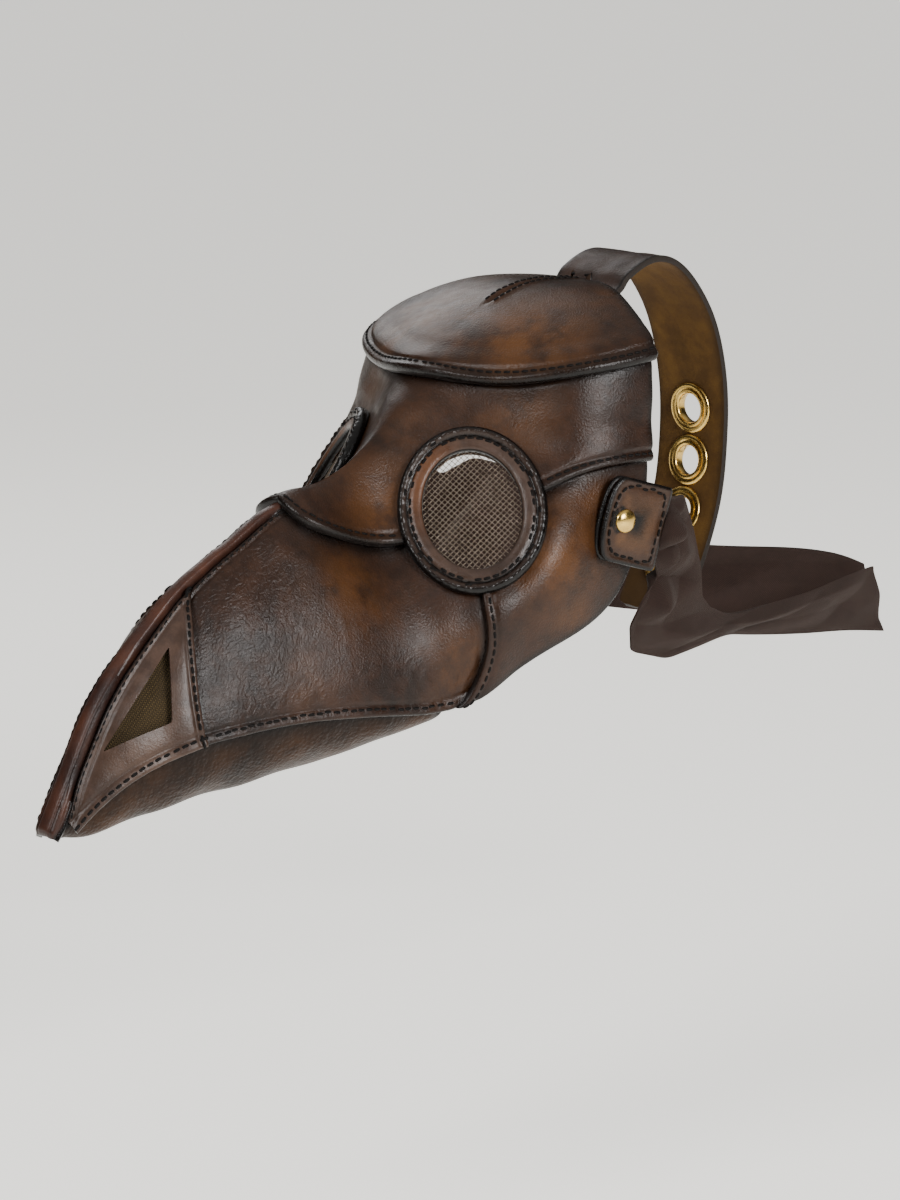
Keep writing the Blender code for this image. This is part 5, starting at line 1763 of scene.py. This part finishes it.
# --- Tabs and ties ---
@dataclass
class Tab:
    """One side tab: two leathers stitched round the tie's end, on a domed rivet."""

    side: Side
    finishes: Finishes
    length: float = 0.033
    height: float = 0.037
    leather: float = 0.0021
    stand_off: float = 0.0054
    layer_gap: float = 0.00035
    cloth: float = 0.0011
    rivet_from_front: float = 0.0105
    bow: float = 0.0085
    fullness: float = 2.6
    stitch_in: float = 0.0030

    def seat(self) -> Matrix:
        """The tab's frame: origin on the cheek under the rivet, +X to its rear, +Z off the cheek."""
        joint = next(j for j in frame["joints"] if j["name"] == "tab_swivel_" + self.side.value)
        sign = self.side.sign
        out = Vector(joint["axis"]) * sign
        tilt = Matrix.Rotation(math.radians(-17) * sign, 3, out)
        rear = tilt @ Vector((-out.y * sign, out.x * sign, 0))
        up = out.cross(rear)
        made = Matrix((rear, up, out)).transposed().to_4x4()
        made.translation = Vector(joint["pos_m"])
        return made

    def outline(self, inset: float = 0.0, steps: int = 96) -> Array:
        """The tab's flat outline, drawn in by an inset."""
        rear, half = self.length - self.rivet_from_front - inset, self.height / 2 - inset
        turns = np.linspace(0, math.pi, steps)
        power = 2 / self.fullness
        y = np.sign(np.cos(turns)) * np.abs(np.cos(turns)) ** power * half
        x = -self.rivet_from_front + inset + self.bow * (1 - np.sin(turns) ** power)
        corner = 0.0018
        ease = np.linspace(0, math.pi / 2, 6)
        low = np.stack([rear - corner + corner * np.sin(ease), -half + corner - corner * np.cos(ease)], axis=1)
        high = low[::-1] * np.array((1, -1))
        return np.concatenate([np.stack([x, y], axis=1), low, high])

    def slab(self, name: str, low: float, domed: float) -> Piece:
        """One leather of the tab, with a rounded edge and a raised middle inside its stitches.

        Args:
            name: The piece's name.
            low: Height of its back.
            domed: How far its middle rises.

        Returns:
            The piece in the tab's own frame.
        """
        top = low + self.leather
        rings = [(0.0004, low), (0.0, low + 0.0005), (0.0, top - 0.0008), (0.0003, top - 0.0003),
                 (0.0009, top), (0.0019, top + 0.0001), (self.stitch_in - 0.0007, top - 0.0001),
                 (self.stitch_in, top - 0.0004), (self.stitch_in + 0.0007, top - 0.0001),
                 (self.stitch_in + 0.0020, top + domed * 0.5), (self.stitch_in + 0.0040, top + domed)]
        count = len(self.outline())
        deselect()
        bpy.ops.mesh.primitive_circle_add(vertices=count, radius=1, fill_type="NGON")
        obj = bpy.context.object
        obj.name = obj.data.name = name
        bpy.ops.object.mode_set(mode="EDIT")
        bpy.ops.mesh.select_all(action="SELECT")
        for k in range(1, len(rings)):
            bpy.ops.mesh.inset(thickness=0.5 / len(rings))
        bpy.ops.mesh.poke()
        bpy.ops.object.mode_set(mode="OBJECT")
        points = coordinates(obj)
        radius = np.hypot(points[:, 0], points[:, 1])
        turn = np.arctan2(points[:, 1], points[:, 0])
        middle = radius < 1e-5
        order = np.argsort(-radius[~middle], kind="stable").reshape(len(rings), count)
        keep = np.flatnonzero(~middle)
        for ring, (inset, height) in zip(order, rings):
            members = keep[ring]
            members = members[np.argsort(turn[members])]
            shape = self.outline(inset)
            points[members, :2] = shape
            points[members, 2] = height
        points[middle] = (0.006, 0.0, rings[-1][1])
        put(obj, points)
        pick(obj)
        bpy.ops.object.mode_set(mode="EDIT")
        bpy.ops.mesh.select_all(action="DESELECT")
        bpy.ops.mesh.select_mode(type="EDGE")
        bpy.ops.mesh.select_non_manifold()
        bpy.ops.mesh.edge_face_add()
        bpy.ops.object.mode_set(mode="OBJECT")
        outward(obj)
        points = coordinates(obj)
        deep = self.depth_in(points)
        dark = np.maximum(1.1 * np.exp(-(deep / 0.0015) ** 2), 0.4 * bell(deep, self.stitch_in, 0.0009))
        dark = np.maximum(dark, 0.45 * np.exp(-(deep / 0.0060) ** 2))
        glow = smooth_step((deep - 0.005) / 0.007)
        # A dark ring round the rivet: painted shade of the recess it sits in.
        rivet = np.hypot(points[:, 0], points[:, 1])
        dark = np.maximum(dark, bell(rivet, 0.0058, 0.0012))
        write(obj, burnish=dark, tan=glow * 0.9, creased=0.2)
        obj.data.transform(self.seat())
        obj.data.materials.append(self.finishes.tab)
        return smooth_shaded(obj, 50)

    def depth_in(self, points: Array) -> Array:
        """How far points of the tab's plane are inside its outline."""
        shape = np.column_stack([self.outline(), np.zeros(len(self.outline()))])
        seam = Seam(np.vstack([shape, shape[:1]]), shape)
        return seam.distance(points * np.array((1, 1, 0)))

    def rivet(self, head: float) -> None:
        """The domed rivet, and a black dished ring round its head that stands in for the shaded recess it sits in:
        painted shade.

        Args:
            head: Height of the head's underside.
        """
        turns = np.linspace(math.pi / 2, 0.0, 12)
        dome = [(0.0052 * math.sin(math.pi / 2 - t), head + 0.0026 * math.sin(t)) for t in turns]
        dome += [(0.0052, head - 0.0003), (0.0044, head - 0.0006), (0.0024, head - 0.0006),
                 (0.0024, -LEATHER - 0.0017), (0.0, -LEATHER - 0.0017)]
        rivet = lathe("brass_rivet_" + self.side.value, dome, self.seat(), self.finishes.brass, 64, False)
        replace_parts(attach(rivet, "mask"), "tab_rivet_" + self.side.value)
        # A black ring standing in for the shaded recess round the rivet: painted shade.
        dish = [(0.0056, head - 0.0008), (0.0062, head - 0.0004), (0.0068, head + 0.0001),
                (0.0072, head - 0.0003), (0.0072, head - 0.0009), (0.0056, head - 0.0012)]
        washer = lathe("rivet_recess_shade_" + self.side.value, dish, self.seat(), self.finishes.edge, 64)
        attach(washer, "tab_" + self.side.value)

    def build(self, sewing: Stitching) -> None:
        """Makes the tab's leathers, its stitches and its rivet.

        Args:
            sewing: How the stitches are made.
        """
        side = self.side.value
        body = "tab_" + side
        front_low = self.stand_off + self.leather + self.cloth + 2 * self.layer_gap
        back = self.slab("tab_back_leather_" + side, self.stand_off, 0.0)
        front = self.slab("tab_front_leather_" + side, front_low, 0.0004)
        for piece, node in ((back, "tab_back_"), (front, "tab_front_")):
            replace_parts(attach(piece, body), node + side)
        shape = self.outline(self.stitch_in)
        path = np.column_stack([shape, np.full(len(shape), front_low + self.leather + 0.001)])
        path = placed(np.vstack([path, path[:1]]), self.seat())
        sewing.row("tab_stitches_" + side, path, surface_of(front), body)
        self.rivet(front_low + self.leather + 0.0003)


def crisp(smooth: NaturalSpline, points: Sequence[Sequence[float]], folded: float = 7.0) -> Line:
    """A ribbon's edge whose first part is folded flat between its points, with softened corners."""
    rows = np.asarray(points, float)
    knots = np.arange(len(rows))

    def at(x: Array) -> Array:
        spread = np.linspace(-0.16, 0.16, 9)
        straight = np.mean([np.stack([np.interp(np.clip(x + d, 0, knots[-1]), knots, rows[:, k])
                                      for k in range(3)], axis=-1) for d in spread], axis=0)
        blend = smooth_step((x - folded + 1) / 1.5)[:, None]
        return straight * (1 - blend) + smooth(x) * blend

    return at


@dataclass
class Tie:
    """One cotton tie: a flat ribbon that folds over itself behind the tab and runs back to its end."""

    side: Side
    finishes: Finishes
    cloth: float = 0.0009
    sewn: tuple[float, float] = (0.0185, 0.0245)
    sewn_half: float = 0.0148
    sewn_height: float = 0.0084

    def fold(self, along: Array, across: Array) -> Array:
        """Height of the ribbon's creases off its middle surface."""
        wave = 0.0016 * np.sin(along * 9 + across * 2.2) * np.sin(math.pi * across)
        near = 1 - smooth_step((along - 0.34) / 0.12)
        for pitch, lean, seed, height in ((0.150, 1.6, 0.3, 0.0085), (0.230, -1.9, 0.6, 0.0055),
                                          (0.31, 0.35, 0.1, 0.0022)):
            saw = np.abs(((along + lean * 0.12 * across) / pitch + seed) % 1.0 * 2 - 1)
            saw = saw ** 1.4
            held = np.sin(math.pi * np.clip(across * 1.1 - 0.05, 0, 1)) ** 0.5
            wave += height * (0.25 + 0.75 * near) * (0.5 - saw) * held
        tuck = 0.0030 * (1 - np.abs(np.clip((across - 0.42 - 0.25 * np.sin(along * 5)) / 0.30, -1, 1)))
        return wave + tuck * smooth_step(along / 0.12) * (1 - smooth_step((along - 0.90) / 0.1))

    def build(self) -> None:
        """Makes the tie."""
        side = self.side.value
        seat = Tab(self.side, self.finishes).seat()
        rims = ((self.sewn_half, TIE_TOP[side]), (-self.sewn_half, TIE_BOTTOM[side]))
        top, bottom = ([tuple(seat @ Vector((at, edge, self.sewn_height))) for at in self.sewn] + list(points)
                       for edge, points in rims)
        upper = NaturalSpline(range(len(top)), top)
        lower = NaturalSpline(range(len(bottom)), bottom)
        obj = grid("cotton_tie_" + side, 36, 220)
        flat = coordinates(obj)
        across, along = (flat[:, 0] + 1) / 2, (flat[:, 1] + 1) / 2
        upper, lower = crisp(upper, top), crisp(lower, bottom)
        a, b = upper(along * (len(top) - 1)), lower(along * (len(bottom) - 1))
        points = a + (b - a) * across[:, None]
        run = 0
        for step in (0.01, -0.01):
            c, d = (edge(np.clip(along + step, 0, 1) * (len(top) - 1)) for edge in (upper, lower))
            run = run + math.copysign(1, step) * (c + (d - c) * across[:, None])
        normal = unit(np.cross(run, b - a)) * -self.side.sign
        root = smooth_step((along - 0.02) / 0.08)
        points = points + normal * (self.fold(along, across) * root)[:, None]
        put(obj, points)
        sharp = np.abs(np.gradient(np.gradient(self.fold(along, np.linspace(0, 1, len(along))))))
        width = float(np.linalg.norm(b - a, axis=1).mean())
        middle = upper(np.linspace(0, len(top) - 1, 200)) * 0.5 + lower(
            np.linspace(0, len(bottom) - 1, 200)) * 0.5
        length = float(np.linalg.norm(np.diff(middle, axis=0), axis=1).sum())
        index = np.empty(len(obj.data.loops), np.int32)
        obj.data.loops.foreach_get("vertex_index", index)
        uv = np.stack([across[index] * width, along[index] * length], axis=1)
        obj.data.uv_layers[0].data.foreach_set("uv", uv.ravel())
        walled(obj, self.cloth, (self.finishes.cotton,), 0.0)
        apply_all(obj)
        # Sharp folds, which the cotton's finish paints lighter: painted highlight.
        crease = np.clip(sharp * 400, 0, 1)
        write(obj, creased=np.tile(crease, 2))
        smooth_shaded(obj, 60)
        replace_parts(obj, "cloth_tie_" + side)
        rear = np.array(Tab(self.side, self.finishes).seat())[:3, 0]
        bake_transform(obj)


# --- Stage ---
@dataclass
class Studio:
    """A pale floor, soft lights and the camera.

    Attributes:
        floor_height: Of the floor.
        around: Strength of the surround near the horizon.
        overhead: Its strength overhead.
        glow: The floor's own light, which keeps it pale.
        turn: The camera's turn from straight ahead to the wearer's left, in degrees.
        rise: How far it looks down, in degrees.
        station: Where it stands.
        lens: Its focal length for a film 36 mm high.
    """

    LIGHTS = (("key", (1.80, -0.30, 0.80), 0.75, 46), ("front", (-0.10, -1.7, 1.15), 0.6, 22),
              ("behind", (-1.3, 0.6, 0.8), 0.7, 5))
    LOOKED_AT = (0, -0.06, 0)
    FILM = 36.0

    floor_height: float = -0.30
    around: float = 0.05
    overhead: float = 0.62
    glow: float = 0.80
    turn: float = 45.0
    rise: float = 12.0
    station: tuple[float, float, float] = (1.3424, -1.3851, 0.3617)
    lens: float = 132.56

    def floor(self) -> None:
        """A pale floor far wider than the view."""
        deselect()
        bpy.ops.mesh.primitive_circle_add(vertices=96, radius=40, fill_type="NGON",
                                          location=(0, 0, self.floor_height))
        disc = bpy.context.object
        disc.name = "floor"
        s = Shading("floor_paper")
        s.set(Base_Color=(0.86, 0.845, 0.80), Roughness=0.9, Emission_Color=(1.0, 0.985, 0.94),
              Emission_Strength=self.glow)
        disc.data.materials.append(s.material)

    def light(self, name: str, place: tuple[float, float, float], size: float, power: float) -> None:
        """An area light that looks at the mask."""
        data = bpy.data.lights.new(name, "AREA")
        data.size, data.energy = size, power
        obj = linked(name, data)
        obj.location = place
        obj.rotation_euler = (Vector(self.LOOKED_AT) - Vector(place)).to_track_quat("-Z", "Y").to_euler()

    def camera(self) -> None:
        """The camera, at the height and turn of the wearer's left front."""
        azimuth, elevation = math.radians(self.turn), math.radians(self.rise)
        back = Vector((math.sin(azimuth) * math.cos(elevation), -math.cos(azimuth) * math.cos(elevation),
                       math.sin(elevation)))
        data = bpy.data.cameras.new("camera")
        data.sensor_fit = "AUTO"
        data.sensor_width = self.FILM
        data.lens = self.lens
        obj = linked("camera", data)
        obj.location = self.station
        obj.rotation_mode = "QUATERNION"
        obj.rotation_quaternion = (-back).to_track_quat("-Z", "Y")
        bpy.context.scene.camera = obj

    def build(self) -> None:
        """Makes the floor, the lights, the pale surround and the camera."""
        self.floor()
        for light in self.LIGHTS:
            self.light(*light)
        world = bpy.data.worlds.new("surround")
        bpy.context.scene.world = world
        world.use_nodes = True
        tree = world.node_tree
        background = tree.nodes["Background"]
        way = tree.nodes.new("ShaderNodeTexCoord")
        parts = tree.nodes.new("ShaderNodeSeparateXYZ")
        overhead = tree.nodes.new("ShaderNodeMapRange")
        overhead.interpolation_type = "SMOOTHSTEP"
        for index, value in ((1, 0.45), (2, 0.90), (3, self.around), (4, self.overhead)):
            overhead.inputs[index].default_value = value
        tree.links.new(way.outputs["Generated"], parts.inputs[0])
        tree.links.new(parts.outputs[2], overhead.inputs[0])
        tree.links.new(overhead.outputs[0], background.inputs[1])
        background.inputs[0].default_value = (1.0, 0.985, 0.95, 1.0)
        self.camera()


def dress_carried_nodes(finishes: Finishes) -> None:
    """Gives the frame's nodes that stay in view their finish."""
    skins = {"eye_backing": finishes.suede, "rivet_burr": finishes.brass, "tie_sewn_end": finishes.cotton}
    for name, node in frame["nodes"].items():
        for start, skin in skins.items():
            if name.startswith(start):
                node.data.materials.clear()
                node.data.materials.append(skin)


def main() -> None:
    """Builds the mask's looks round its frame."""
    logging.basicConfig(level=logging.INFO, format="%(message)s")
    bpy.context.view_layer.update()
    Studio().build()
    finishes = Finishes()
    shell = Shell(finishes)
    shell.build()
    sewing = Stitching(finishes.thread)
    stitch_shell(shell, sewing)
    BeakTrim(finishes).build()
    for side in Side:
        Eye(side, finishes).build(sewing)
        Tab(side, finishes).build(sewing)
        Tie(side, finishes).build()
    Strap(finishes).build()
    dress_carried_nodes(finishes)
    deselect()


if __name__ == "__main__":
    main()
